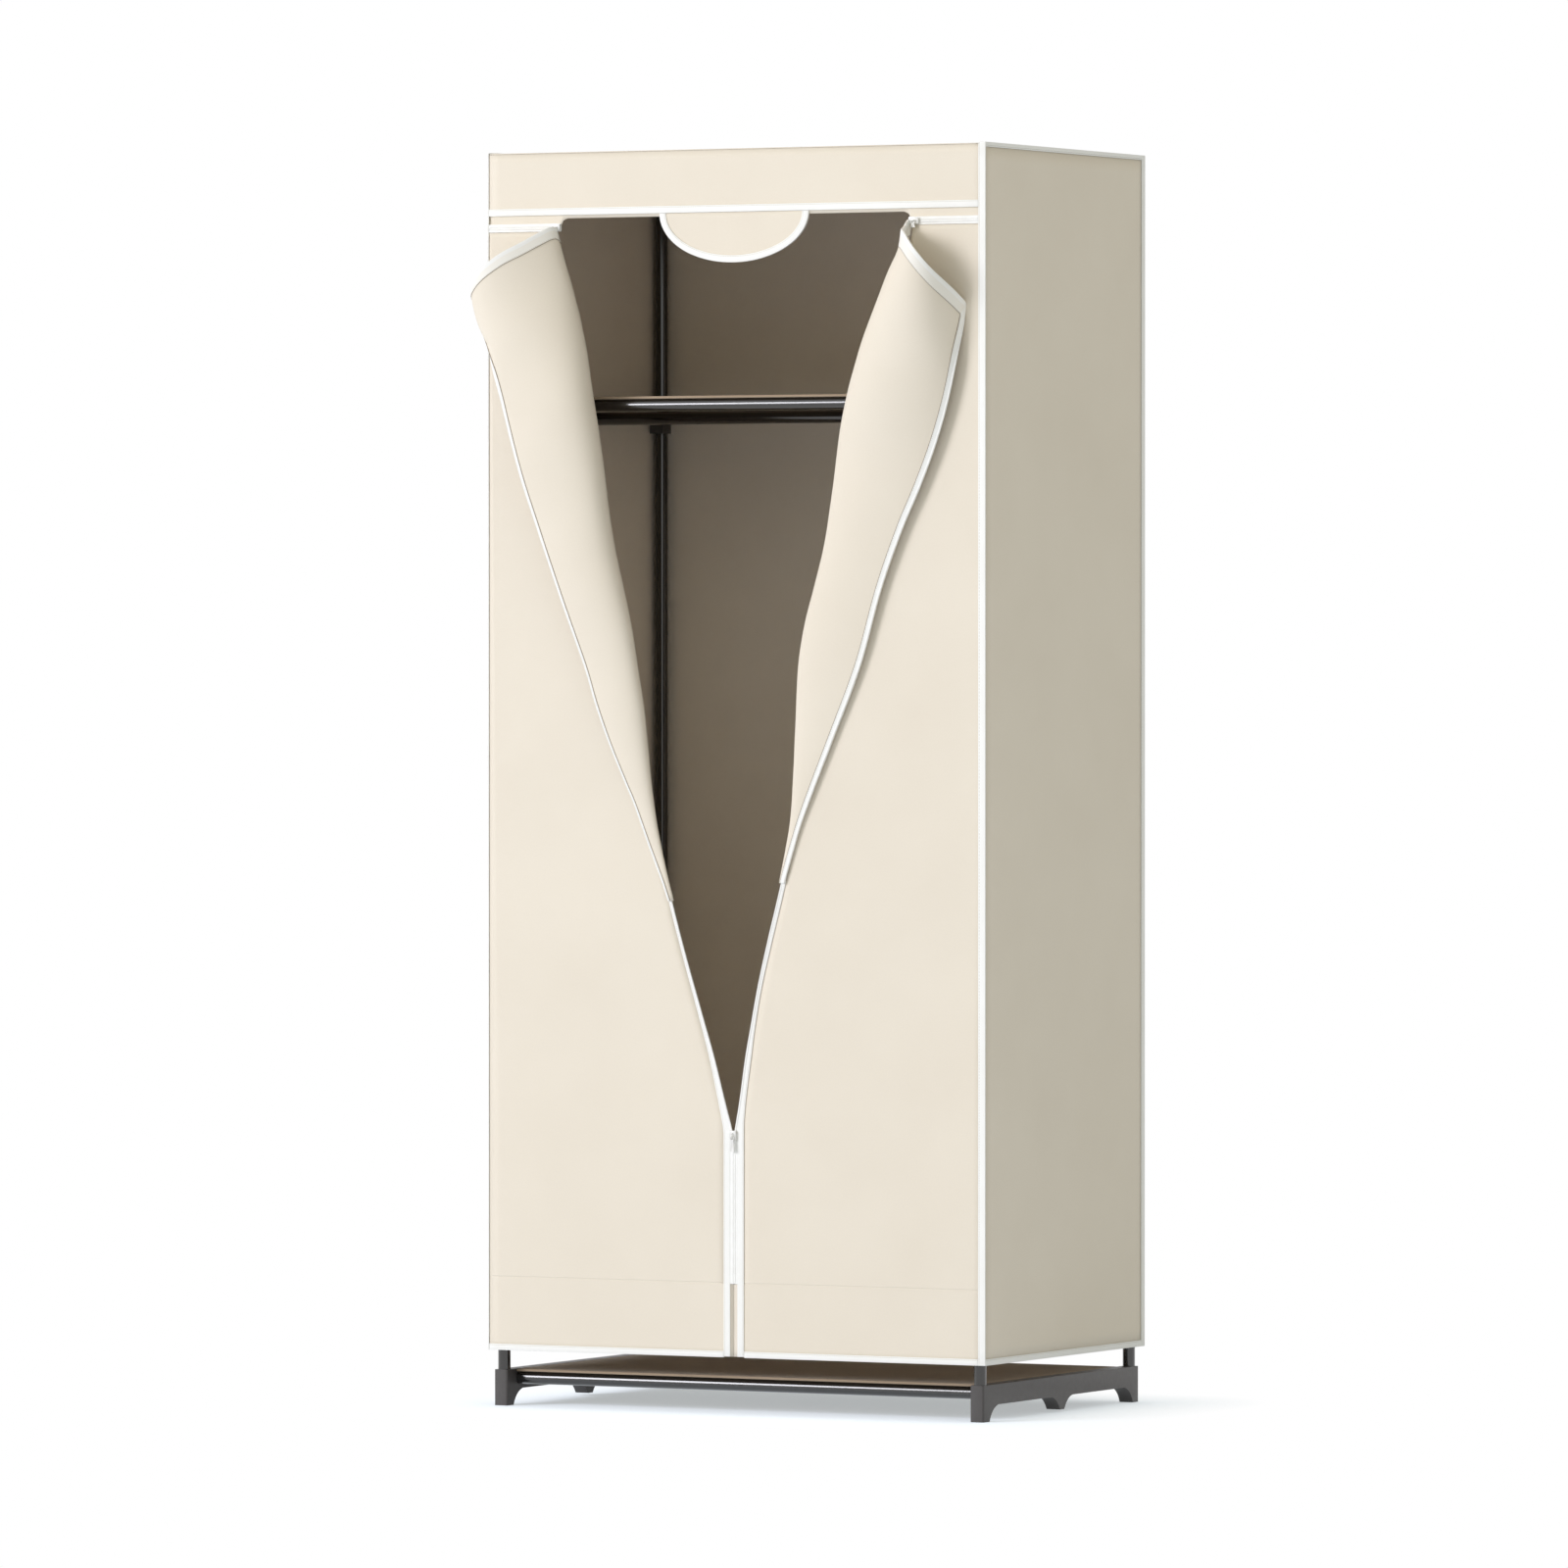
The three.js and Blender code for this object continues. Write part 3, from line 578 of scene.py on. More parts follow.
def grid(
    columns: int, rows: int, place: Place, unwrap: Unwrap, facing: Vector,
    paint: Callable[[float, float], int] | None = None,
) -> Mesh:
    """A sheet made from a flat grid whose points are put in place.

    Args:
        columns: Steps across the sheet.
        rows: Steps along it.
        place: Gives a point from its shares across and along the sheet.
        unwrap: Gives a UV point from both shares and the share along at the face's middle.
        facing: The way that the sheet's front looks on the whole.
        paint: Gives a face's finish from the shares at its middle.

    Returns:
        The sheet, with a UV map in metres.
    """
    bm = bmesh.new()
    bmesh.ops.create_grid(bm, x_segments=columns, y_segments=rows, size=0.5)
    layer = bm.loops.layers.uv.new("UVMap")
    for face in bm.faces:
        middle = face.calc_center_median()
        face.smooth = True
        if paint:
            face.material_index = paint(middle.x + 0.5, middle.y + 0.5)
        for loop in face.loops:
            loop[layer].uv = unwrap(loop.vert.co.x + 0.5, loop.vert.co.y + 0.5, middle.y + 0.5)
    for vertex in bm.verts:
        vertex.co = place(vertex.co.x + 0.5, vertex.co.y + 0.5)
    merge(bm)
    bm.normal_update()
    looks = sum((face.normal * face.calc_area() for face in bm.faces), Vector())
    if looks.dot(facing) < 0:
        bmesh.ops.reverse_faces(bm, faces=bm.faces)
    return bm


def shift(bm: Mesh, by: Sequence[float]) -> None:
    """Moves a whole mesh, in metres."""
    bmesh.ops.translate(bm, vec=by, verts=bm.verts)


def rotate(bm: Mesh, angle: float, axis: str) -> None:
    """Turns a whole mesh about an axis through the origin."""
    bmesh.ops.rotate(bm, cent=(0, 0, 0), matrix=Matrix.Rotation(angle, 3, axis), verts=bm.verts)


def merge(bm: Mesh) -> None:
    """Joins a mesh's points that are in the same place."""
    bmesh.ops.remove_doubles(bm, verts=bm.verts, dist=SAME_PLACE)


def round_edges(bm: Mesh, edges: Sequence[bmesh.types.BMEdge], radius: float, segments: int) -> None:
    """Rounds some of a mesh's edges.

    Args:
        bm: The mesh.
        edges: The edges to round.
        radius: Radius in metres.
        segments: Steps round each edge.
    """
    bmesh.ops.bevel(
        bm, geom=edges, offset=radius, affect="EDGES", segments=segments, profile=0.5, material=-1
    )


def metric(width: float, length: float) -> Unwrap:
    """UV points in metres for a sheet of this many millimetres."""
    return lambda s, t, middle: (s * width * MM, t * length * MM)


def box_mesh(low: Vector, high: Vector, bevel: float, segments: int = 3) -> Mesh:
    """A block with rounded edges.

    Args:
        low: Its lowest corner in metres.
        high: Its highest corner in metres.
        bevel: Radius of its edges in metres.
        segments: Steps round each edge.

    Returns:
        The block.
    """
    bm = bmesh.new()
    bmesh.ops.create_cube(bm, size=1.0)
    bmesh.ops.scale(bm, vec=high - low, verts=bm.verts)
    shift(bm, (high + low) / 2)
    if bevel > 0:
        round_edges(bm, bm.edges, bevel, segments)
    return bm


def turned(profile: Sequence[Pair], steps: int) -> Mesh:
    """A round piece, turned about the Z axis from a closed outline.

    Args:
        profile: Radius and height of each point of its outline in millimetres.
        steps: Steps round the axis.

    Returns:
        The turned piece with its faces outwards.
    """
    bm = bmesh.new()
    line = [bm.verts.new((radius * MM, 0, height * MM)) for radius, height in profile]
    for first, second in zip(line, [*line[1:], line[0]]):
        bm.edges.new((first, second))
    spin_round(bm, (0, 0, 1), steps)
    return bm


def spin_round(bm: Mesh, axis: tuple[int, int, int], steps: int) -> None:
    """Spins an outline once round an axis through the origin, and closes and faces the shell.

    Args:
        bm: The outline, which becomes the shell.
        axis: The axis.
        steps: Steps round it.
    """
    bmesh.ops.spin(
        bm,
        geom=[*bm.verts, *bm.edges],
        cent=(0, 0, 0),
        axis=axis,
        angle=math.tau,
        steps=steps,
        use_merge=True,
    )
    merge(bm)
    bmesh.ops.recalc_face_normals(bm, faces=bm.faces)


def smooth_faces(bm: Mesh, crease: float = 35.0) -> None:
    """Shades a piece smooth, with its sharp edges kept hard.

    Args:
        bm: The piece's mesh.
        crease: Edges sharper than this many degrees stay hard.
    """
    for face in bm.faces:
        face.smooth = True
    for edge in bm.edges:
        if len(edge.link_faces) == 2 and edge.calc_face_angle(0.0) > math.radians(crease):
            edge.smooth = False


def joined(pieces: Sequence[Mesh]) -> Mesh:
    """Joins loose meshes into one.

    Args:
        pieces: The meshes, which are freed.

    Returns:
        One mesh with all of them.
    """
    whole = bmesh.new()
    for piece in pieces:
        loose = bpy.data.meshes.new("loose")
        piece.to_mesh(loose)
        piece.free()
        whole.from_mesh(loose)
        bpy.data.meshes.remove(loose)
    return whole


def in_scene(name: str, data: bpy.types.ID) -> bpy.types.Object:
    """Puts a new object with this mesh, lamp or camera into the scene.

    Args:
        name: The object's name.
        data: What it shows.

    Returns:
        The new object.
    """
    new = bpy.data.objects.new(name, data)
    bpy.context.scene.collection.objects.link(new)
    return new


@dataclass(frozen=True)
class Stand:
    """What a piece stands for: its slot, the nodes it replaces and its body, if it has one."""

    slot: Slot
    nodes: tuple[str, ...] = ()
    body: str = "root"


def make_piece(name: str, bm: Mesh, materials: Sequence[Finish], stand: Stand) -> bpy.types.Object:
    """Turns a mesh into a piece of the wardrobe.

    Args:
        name: The piece's name.
        bm: Its mesh, which is freed.
        materials: Its finishes, the outer one first.
        stand: Its body, nodes and slot.

    Returns:
        The piece, riding on its body if it has one.
    """
    mesh = bpy.data.meshes.new(name)
    bm.to_mesh(mesh)
    bm.free()
    for material in materials:
        mesh.materials.append(material)
    piece = in_scene(name, mesh)
    if stand.body:
        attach(piece, stand.body)
    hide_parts(*stand.nodes)
    LOG.info("%s: %d faces", name, len(mesh.polygons))
    return piece


def thicken(piece: bpy.types.Object, thickness: float, offset: float, lined: bool = False) -> None:
    """Gives a sheet its thickness.

    Args:
        piece: The sheet.
        thickness: Its thickness in millimetres.
        offset: -1 grows behind its face, 0 to both sides.
        lined: Gives the back the piece's second finish.
    """
    shell = piece.modifiers.new("thickness", "SOLIDIFY")
    shell.thickness = thickness * MM
    shell.offset = offset
    if lined:
        shell.material_offset = 1


def soften(piece: bpy.types.Object, width: float, segments: int = 2, angle: float = 40.0) -> None:
    """Rounds a piece's sharp edges.

    Args:
        piece: The piece.
        width: Width of the rounding in millimetres.
        segments: Steps across it.
        angle: Edges sharper than this many degrees are rounded.
    """
    edge = piece.modifiers.new("edges", "BEVEL")
    edge.width = width * MM
    edge.segments = segments
    edge.limit_method = "ANGLE"
    edge.angle_limit = math.radians(angle)
    edge.harden_normals = False


@dataclass(frozen=True)
class CoverSizes:
    """Sizes of the cover that its pieces share, in millimetres."""

    half_width: float = 355.5
    half_depth: float = 228.5
    height: float = 1600.0
    hem: float = 71.5
    cloth: float = 1.2
    tape: float = 0.8
    gap: float = 0.3
    header_bottom: float = 1519.0
    door_top: float = 1498.0
    corner_tape: float = 10.0
    hem_tape: float = 8.0
    chain_half: float = 5.2
    door_tape: float = 9.2
    door_tape_cover: float = 2.8
    zip_stop: float = 164.5
    zip_apex: float = 355.0

    @property
    def wall_x(self) -> float:
        """Outer face of a side wall."""
        return self.half_width - self.tape - self.gap

    @property
    def front(self) -> float:
        """Front face of the front cloth."""
        return -self.half_depth + self.tape + self.gap

    @property
    def cloth_middle(self) -> float:
        """Middle of the front cloth."""
        return self.front + self.cloth / 2

    @property
    def wall_low(self) -> float:
        """Lower edge of the walls, inside the hem tape."""
        return self.hem + self.tape + self.gap

    @property
    def wall_top(self) -> float:
        """Upper edge of the walls, under the top panel."""
        return self.height - 2 * (self.tape / 2 + self.gap) - self.cloth


@dataclass
class SteelFrame:
    """Tubes, posts, brackets and shelf boards. Lengths are in millimetres, angles in degrees."""

    palette: Palette
    wall: float = 1.0
    rim: float = 0.35
    steps: int = 40
    spigot_length: float = 38.0
    spigot_radius: float = 6.7
    spigot_neck: Pair = (1.0, 2.5)
    bracket_edge: float = 1.0
    bracket_flat: float = 1.5
    corner_radius: float = 2.6
    corner_least: float = 15.0
    corner_angle: float = 80.0
    board_edge: float = 1.0
    board_seam_inset: float = 11.0
    board_seam_width: float = 0.9
    board_seam_depth: float = 0.5

    def build(self) -> None:
        """Builds and dresses the whole frame."""
        for node in sorted(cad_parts):
            if "_tube_" in node or node == "hanging_rod":
                self.add_cross_tube(node)
            elif node.startswith("post_"):
                self.add_post(node)
            elif "_bracket_" in node:
                self.add_bracket(node)
            elif node.endswith("_shelf_panel"):
                self.add_board(node)

    def tube_profile(self, radius: float, low: float, high: float) -> list[Pair]:
        """Outline of an open tube's wall with rolled rims.

        Args:
            radius: Its outer radius.
            low: Its lower end.
            high: Its upper end.

        Returns:
            Radius and height of each point.
        """
        inner, rim = radius - self.wall, self.rim
        return [
            (inner, low + rim),
            (inner + rim, low),
            (radius - rim, low),
            (radius, low + rim),
            (radius, high - rim),
            (radius - rim, high),
            (inner + rim, high),
            (inner, high - rim),
        ]

    def spigot_profile(self, radius: float, length: float) -> list[Pair]:
        """Outline of a post that is drawn in at its upper end.

        Args:
            radius: The post's outer radius.
            length: Its whole length, spigot included.

        Returns:
            Radius and height of each point.
        """
        shoulder = length - self.spigot_length
        spigot, wall, rim = self.spigot_radius, self.wall, self.rim
        upper, lower = self.spigot_neck
        return [
            *self.tube_profile(radius, 0.0, shoulder)[:6],
            (spigot, shoulder + rim),
            (spigot, length - rim),
            (spigot - rim, length),
            (spigot - wall, length - rim),
            (spigot - wall, shoulder - upper),
            (radius - wall, shoulder - lower),
        ]

    def add_cross_tube(self, node: str) -> None:
        """Adds a tube that runs across the wardrobe.

        Args:
            node: The node it replaces.
        """
        low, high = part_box(node)
        half = (high.x - low.x) / 2 / MM
        radius = (high.z - low.z) / 2 / MM
        bm = turned(self.tube_profile(radius, -half, half), self.steps)
        smooth_faces(bm)
        rotate(bm, math.pi / 2, "Y")
        shift(bm, (low + high) / 2)
        make_piece(f"{node}_coated", bm, [self.palette.tube], Stand(Slot.TUBE, (node,)))

    def add_post(self, node: str) -> None:
        """Adds a length of post; a lower one ends in a drawn-in spigot.

        Args:
            node: The node it replaces.
        """
        low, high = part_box(node)
        length = (high.z - low.z) / MM
        radius = (high.x - low.x) / 2 / MM
        lower = node.startswith("post_lower")
        profile = self.spigot_profile(radius, length) if lower else self.tube_profile(radius, 0.0, length)
        bm = turned(profile, self.steps)
        smooth_faces(bm)
        middle = (low + high) / 2
        shift(bm, (middle.x, middle.y, low.z))
        make_piece(f"{node}_coated", bm, [self.palette.tube], Stand(Slot.TUBE, (node,)))

    def add_bracket(self, node: str) -> None:
        """Adds a moulded bracket with rounded edges.

        Args:
            node: The node it replaces.
        """
        bm = bmesh.new()
        bm.from_mesh(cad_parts[node].data)
        merge(bm)
        flat = math.radians(self.bracket_flat)
        bmesh.ops.dissolve_limit(bm, angle_limit=flat, verts=bm.verts, edges=bm.edges)
        corners = [edge for edge in bm.edges if self.is_corner(edge)]
        round_edges(bm, corners, self.corner_radius * MM, 5)
        smooth_faces(bm)
        piece = make_piece(f"{node}_moulding", bm, [self.palette.bracket], Stand(Slot.BRACKET, (node,)))
        soften(piece, self.bracket_edge, segments=3)

    def is_corner(self, edge: bmesh.types.BMEdge) -> bool:
        """Tells whether an edge is one of a bracket's upright outer corners.

        Args:
            edge: The edge.

        Returns:
            Whether it is upright, long, sharp and stands out.
        """
        first, second = (vertex.co for vertex in edge.verts)
        upright = (second - first).xy.length < 10 * SAME_PLACE
        long = edge.calc_length() > self.corner_least * MM
        sharp = edge.calc_face_angle(0.0) > math.radians(self.corner_angle)
        return upright and long and edge.is_convex and sharp

    def add_board(self, node: str) -> None:
        """Adds a shelf board in its cloth, with a pressed seam round its top.

        Args:
            node: The node it replaces.
        """
        low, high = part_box(node)
        bm = box_mesh(low, high, 0.0)
        top = [face for face in bm.faces if face.normal.z > 0.9]
        width, depth = self.board_seam_width * MM, self.board_seam_depth * MM
        for inset, rise in ((self.board_seam_inset * MM, 0.0), (width, -depth), (width, depth)):
            bmesh.ops.inset_region(bm, faces=top, thickness=inset, depth=rise)
        outside = [edge for edge in bm.edges if edge.calc_face_angle(0.0) > math.radians(60)]
        round_edges(bm, outside, self.board_edge * MM, 3)
        smooth_faces(bm)
        make_piece(f"{node}_covered", bm, [self.palette.shelf], Stand(Slot.SHELF, (node,)))


@dataclass
class CoverPanels:
    """Top, walls, back and header of the cover. Sewn edges hold the cloth over a share of it."""

    sizes: CoverSizes
    palette: Palette
    wall_wave: Wave = Wave(1.3, 210.0, 3.1)
    back_wave: Wave = Wave(2.34, 230.0, 9.7)
    top_wave: Wave = Wave(0.8, 150.0, 5.3)
    header_wave: Wave = Wave(0.7, 130.0, 12.9)
    wall_draw: float = 1.4
    held_share: float = 0.12
    header_lift: float = 0.4
    strip_overlap: float = 26.0
    strip_rise: float = 16.5
    strip_step: Pair = (246.0, 250.0)

    def build(self) -> None:
        """Builds and dresses the panels."""
        self.add_wall(Side.LEFT)
        self.add_wall(Side.RIGHT)
        self.add_back()
        self.add_top()
        self.add_header()
        self.add_strip()

    def panel(self, node: str, counts: tuple[int, int], place: Place, size: Pair, facing: Vector) -> None:
        """Adds one panel of cloth, thickened and lined.

        Args:
            node: The node it replaces.
            counts: Its steps across and along.
            place: Where each of its points goes.
            size: Its width and length in millimetres.
            facing: The way it looks.
        """
        bm = grid(*counts, place, metric(*size), facing)
        cloths = [self.palette.cover, self.palette.lining]
        piece = make_piece(f"{node}_cloth", bm, cloths, Stand(Slot.COVER, (node,)))
        thicken(piece, self.sizes.cloth, -1, lined=True)

    def free(self, s: float, t: float) -> float:
        """How free the cloth is of its four sewn edges, from 0 to 1."""
        across, along = (smoothstep(min(share, 1 - share), 0.0, self.held_share) for share in (s, t))
        return across * along

    def upright(self, half: float, low: float, s: float, t: float) -> Pair:
        """Place across and height of a point of an upright panel with this half width and low edge."""
        return mix(-half, half, s), mix(low, self.sizes.wall_top, t)

    def add_wall(self, side: Side) -> None:
        """Adds a side wall, slack between its posts.

        Args:
            side: The side that it closes.
        """
        z = self.sizes
        sign = side.value
        reach = z.half_depth - z.tape - 2 * z.gap - z.cloth - z.gap

        def place(s: float, t: float) -> Vector:
            """A point of the wall, drawn in between its posts.

            Args:
                s: Share of the way from front to back.
                t: Share of the way up.

            Returns:
                The point in metres of the part.
            """
            y, height = self.upright(reach, z.wall_low, s, t)
            free = self.free(s, t)
            pulled = self.wall_draw * math.sin(math.pi * s) * free
            return at(sign * (z.wall_x - pulled + self.wall_wave.height(y, height, sign) * free), y, height)

        size = (2 * reach, z.wall_top - z.wall_low)
        self.panel(f"cover_{side.label}", (24, 72), place, size, Vector((sign, 0, 0)))

    def add_back(self) -> None:
        """Adds the back wall."""
        z = self.sizes

        def place(s: float, t: float) -> Vector:
            """A point of the back, in metres of the part."""
            x, height = self.upright(z.wall_x, z.wall_low, s, t)
            return at(x, -z.front + self.back_wave.height(x, height) * self.free(s, t), height)

        size = (2 * z.wall_x, z.wall_top - z.wall_low)
        self.panel("cover_back", (36, 72), place, size, -FRONT)

    def add_top(self) -> None:
        """Adds the top panel, a little slack between the tubes."""
        z = self.sizes
        top = z.height - z.tape - z.gap

        def place(s: float, t: float) -> Vector:
            """A point of the top, bowed up between its edges.

            Args:
                s: Share of the way across.
                t: Share of the way back.

            Returns:
                The point in metres of the part.
            """
            x, y = mix(-z.wall_x, z.wall_x, s), mix(z.front, -z.front, t)
            wave = self.top_wave.depth + self.top_wave.height(x, y)
            return at(x, y, top + wave * self.free(s, t))

        size = (2 * z.wall_x, -2 * z.front)
        self.panel("cover_top", (36, 24), place, size, Vector((0, 0, 1)))

    def add_header(self) -> None:
        """Adds the band across the front above the doors."""
        z = self.sizes

        def place(s: float, t: float) -> Vector:
            """A point of the band, in metres of the part."""
            x, height = self.upright(z.wall_x, z.header_bottom + self.header_lift, s, t)
            return at(x, z.front + self.header_wave.height(x, height) * self.free(s, t), height)

        size = (2 * z.wall_x, z.wall_top - z.header_bottom)
        self.panel("header_band", (48, 8), place, size, FRONT)

    def add_strip(self) -> None:
        """Adds the strip behind the header's hem that carries the upper zip."""
        z = self.sizes
        front = z.front + z.cloth + z.gap
        half = z.wall_x - z.cloth - z.gap
        high = z.header_bottom + self.strip_overlap

        def place(s: float, t: float) -> Vector:
            """A point of the strip, which steps up between the sliders.

            Args:
                s: Share of the way across.
                t: Share of the way up.

            Returns:
                The point in metres of the part.
            """
            x = mix(-half, half, s)
            low = z.door_top + z.gap + self.strip_rise * (1 - smoothstep(abs(x), *self.strip_step))
            return at(x, front, mix(low, high, t))

        size = (2 * half, high - z.door_top)
        self.panel("header_strip", (120, 4), place, size, FRONT)


@dataclass(frozen=True)
class LapelShape:
    """One turned-back door, in millimetres.

    hinge is the line, low end first, about which the lapel swings. throat, throat_tape, fold and edge
    go from a height to a distance from the cover's middle, or to a width. slope and shoulder go from a
    share of the way up the fold to a share, and top_rise from a share across the lapel to a rise.
    """

    side: Side
    hinge: tuple[Pair, Pair]
    throat: Table
    throat_tape: Table
    fold: Table
    edge: Table
    roll: float
    pinch: float
    bulge: float
    reach: float
    corner: float
    curl: Pair
    curl_span: Pair
    edge_tape: Pair
    top_tape: float
    slope: Table
    shoulder: Table
    top_rise: Table


@dataclass
class Lapel:
    """The curve of one door's turned-back cloth, as points across and along it.

    lip_share, tip_share and the tuples of shares say where the handles of the section's two Bezier
    curves lie, as shares of the lapel's width, of the roll's radius and of the lip.
    """

    sizes: CoverSizes
    shape: LapelShape
    wave: Wave = Wave(1.6, 90.0, 20.0)
    wave_span: Pair = (4.0, 26.0)
    least: float = 2.0
    least_reach: float = 3.2
    pinch_start: float = 0.8
    rise_start: float = 0.86
    ease: float = 0.03
    lip: float = 7.0
    lip_share: float = 0.3
    tip_share: float = 0.22
    shoulder_shares: Pair = (0.9, 0.12)
    flat_share: float = 0.3
    curled_shares: Pair = (0.45, 0.25)
    end_share: float = 0.1
    bend_forward: float = 40.0
    bend_over: float = 60.0
    samples: int = 48
    rows: dict[float, tuple[list[Vector], list[float]]] = field(default_factory=dict)

    def along(self, table: Table, v: float) -> Vector:
        """A point of the fold's or the edge's line.

        Args:
            table: The line's table.
            v: Share of the way up it.

        Returns:
            Its x and z in millimetres of the cover.
        """
        height = mix(table[0][0], table[-1][0], v)
        return Vector((self.shape.side.value * curve(table, height), height))

    def fold(self, v: float) -> Vector:
        """Where the cloth leaves the door's plane, as x and z, v from the low end to the top."""
        return self.along(self.shape.fold, v)

    def edge(self, v: float) -> Vector:
        """Where the free edge lies over the door, as x and z."""
        return self.along(self.shape.edge, v)

    def risen(self, v: float) -> float:
        """Share of the way up the hinge; the tail below it has none."""
        low, high = self.shape.hinge[0][1], self.shape.hinge[1][1]
        return min(max((self.fold(v).y - low) / (high - low), 0.0), 1.0)

    def radius(self, v: float) -> float:
        """Radius of the roll, pinched in again at the top."""
        pinch = 1 - smoothstep(v, self.pinch_start, 1.0) * (1 - self.shape.pinch)
        return mix(self.least, self.shape.roll, self.risen(v)) * pinch

    def reach(self, v: float) -> float:
        """How far the free edge stands in front of the door."""
        return mix(self.least_reach, self.shape.reach, self.risen(v))

    @property
    def length(self) -> float:
        """Length of the fold."""
        return (self.fold(1.0) - self.fold(0.0)).length

    def section(self, v: float) -> tuple[list[Vector], list[float]]:
        """The cloth's curve across the lapel at one height.

        Args:
            v: Share of the way up the fold.

        Returns:
            Points as distance over the door and height before it, and the length up to each.
        """
        if v in self.rows:
            return self.rows[v]
        wide = (self.edge(v) - self.fold(v)).length
        radius, reach = self.radius(v), self.reach(v)
        tip = smoothstep(v, *self.shape.curl_span)
        curl = mix(*self.shape.curl, tip)
        end = mix(min(self.lip, self.lip_share * wide), self.tip_share * wide, tip)
        slope = curve(self.shape.slope, v)
        join = Vector((wide - end, reach + slope * end))
        back, up = (share * radius for share in self.shoulder_shares)
        over = curve(self.shape.shoulder, v) * wide - back
        shoulder = Vector((over, join.y + slope * (join.x - over) + up))
        roll = [Vector((0.0, 0.0)), Vector((-self.shape.bulge * radius, 0.0)), shoulder, join]
        out, drop = (share * end for share in self.curled_shares)
        flat = Vector((wide - self.flat_share * end, reach + self.flat_share * slope * end))
        curled = Vector((wide + self.end_share * end, reach - end))
        lip = [
            join,
            join + Vector((end / 3, -slope * end / 3)),
            flat.lerp(Vector((wide + out, reach - drop)), curl),
            Vector((wide, reach)).lerp(curled, curl),
        ]
        most = self.samples * 2 // 3
        rest = self.samples - most
        points = [bezier(roll, i / most) for i in range(most + 1)]
        points += [bezier(lip, i / rest) for i in range(1, rest + 1)]
        lengths = [0.0]
        for first, second in zip(points, points[1:]):
            lengths.append(lengths[-1] + (second - first).length)
        self.rows[v] = (points, lengths)
        return self.rows[v]

    def width(self, v: float) -> float:
        """Length of the cloth across the lapel at one height."""
        return self.section(v)[1][-1]

    def eased(self, part: float) -> float:
        """A share across the lapel, slowed near the fold, and still 1 at the edge."""
        here, start, end = (share + math.sqrt(share * share + self.ease) for share in (part, 0.0, 1.0))
        return (here - start) / (end - start)

    def point(self, v: float, from_edge: float) -> Vector:
        """A point of the lapel's cloth.

        Args:
            v: Share of the way up the fold.
            from_edge: Distance from the free edge, along the cloth.

        Returns:
            The point in metres of the part.
        """
        points, lengths = self.section(v)
        target = min(max(lengths[-1] - from_edge, 0.0), lengths[-1])
        i = max(j for j in range(len(lengths) - 1) if lengths[j] <= target + 1e-9)
        share = (target - lengths[i]) / max(lengths[i + 1] - lengths[i], 1e-9)
        over, forward = points[i].lerp(points[i + 1], min(share, 1.0))
        fold, edge = self.fold(v), self.edge(v)
        part = over / (edge - fold).length
        x = mix(fold.x, edge.x, part)
        z = mix(fold.y, edge.y, self.eased(part))
        z += curve(self.shape.top_rise, target / lengths[-1]) * smoothstep(v, self.rise_start, 1.0)
        wave = self.wave.height(x, z, self.shape.side.value) * smoothstep(forward, *self.wave_span)
        return at(x, self.sizes.cloth_middle - forward + wave, z)

    def rounded(self, from_edge: float, from_top: float) -> Pair:
        """Moves a point of the square cut to the cut with its rounded corner.

        Args:
            from_edge: Distance from the free edge.
            from_top: Distance from the top edge.

        Returns:
            Both distances on the rounded cut.
        """
        radius = self.shape.corner
        if from_edge >= radius or from_top >= radius:
            return from_edge, from_top
        p, q = 1 - from_edge / radius, 1 - from_top / radius
        return (
            radius * (1 - p * math.sqrt(1 - q * q / 2)),
            radius * (1 - q * math.sqrt(1 - p * p / 2)),
        )

    def cut(self, from_edge: float, from_top: float) -> Vector:
        """A point of the rounded cut, by its distances from the free and top edges."""
        edge, top = self.rounded(from_edge, from_top)
        return self.point(1 - top / self.length, edge)

    def bend_line(self) -> tuple[Vector, Vector]:
        """Where the cloth bends between the door and its lapel.

        Returns:
            The bend's start and end in metres of the part.
        """
        sign = self.shape.side.value
        low, high = (Vector((sign * x, height)) for x, height in self.shape.hinge)
        along = (high - low).normalized()
        over = Vector((sign * along.y, 0.0, -sign * along.x))
        rate = FRONT / (self.bend_forward * MM) + over / (self.bend_over * MM)
        start = at(low.x, self.sizes.cloth_middle, low.y)
        return start, start + rate / rate.length_squared


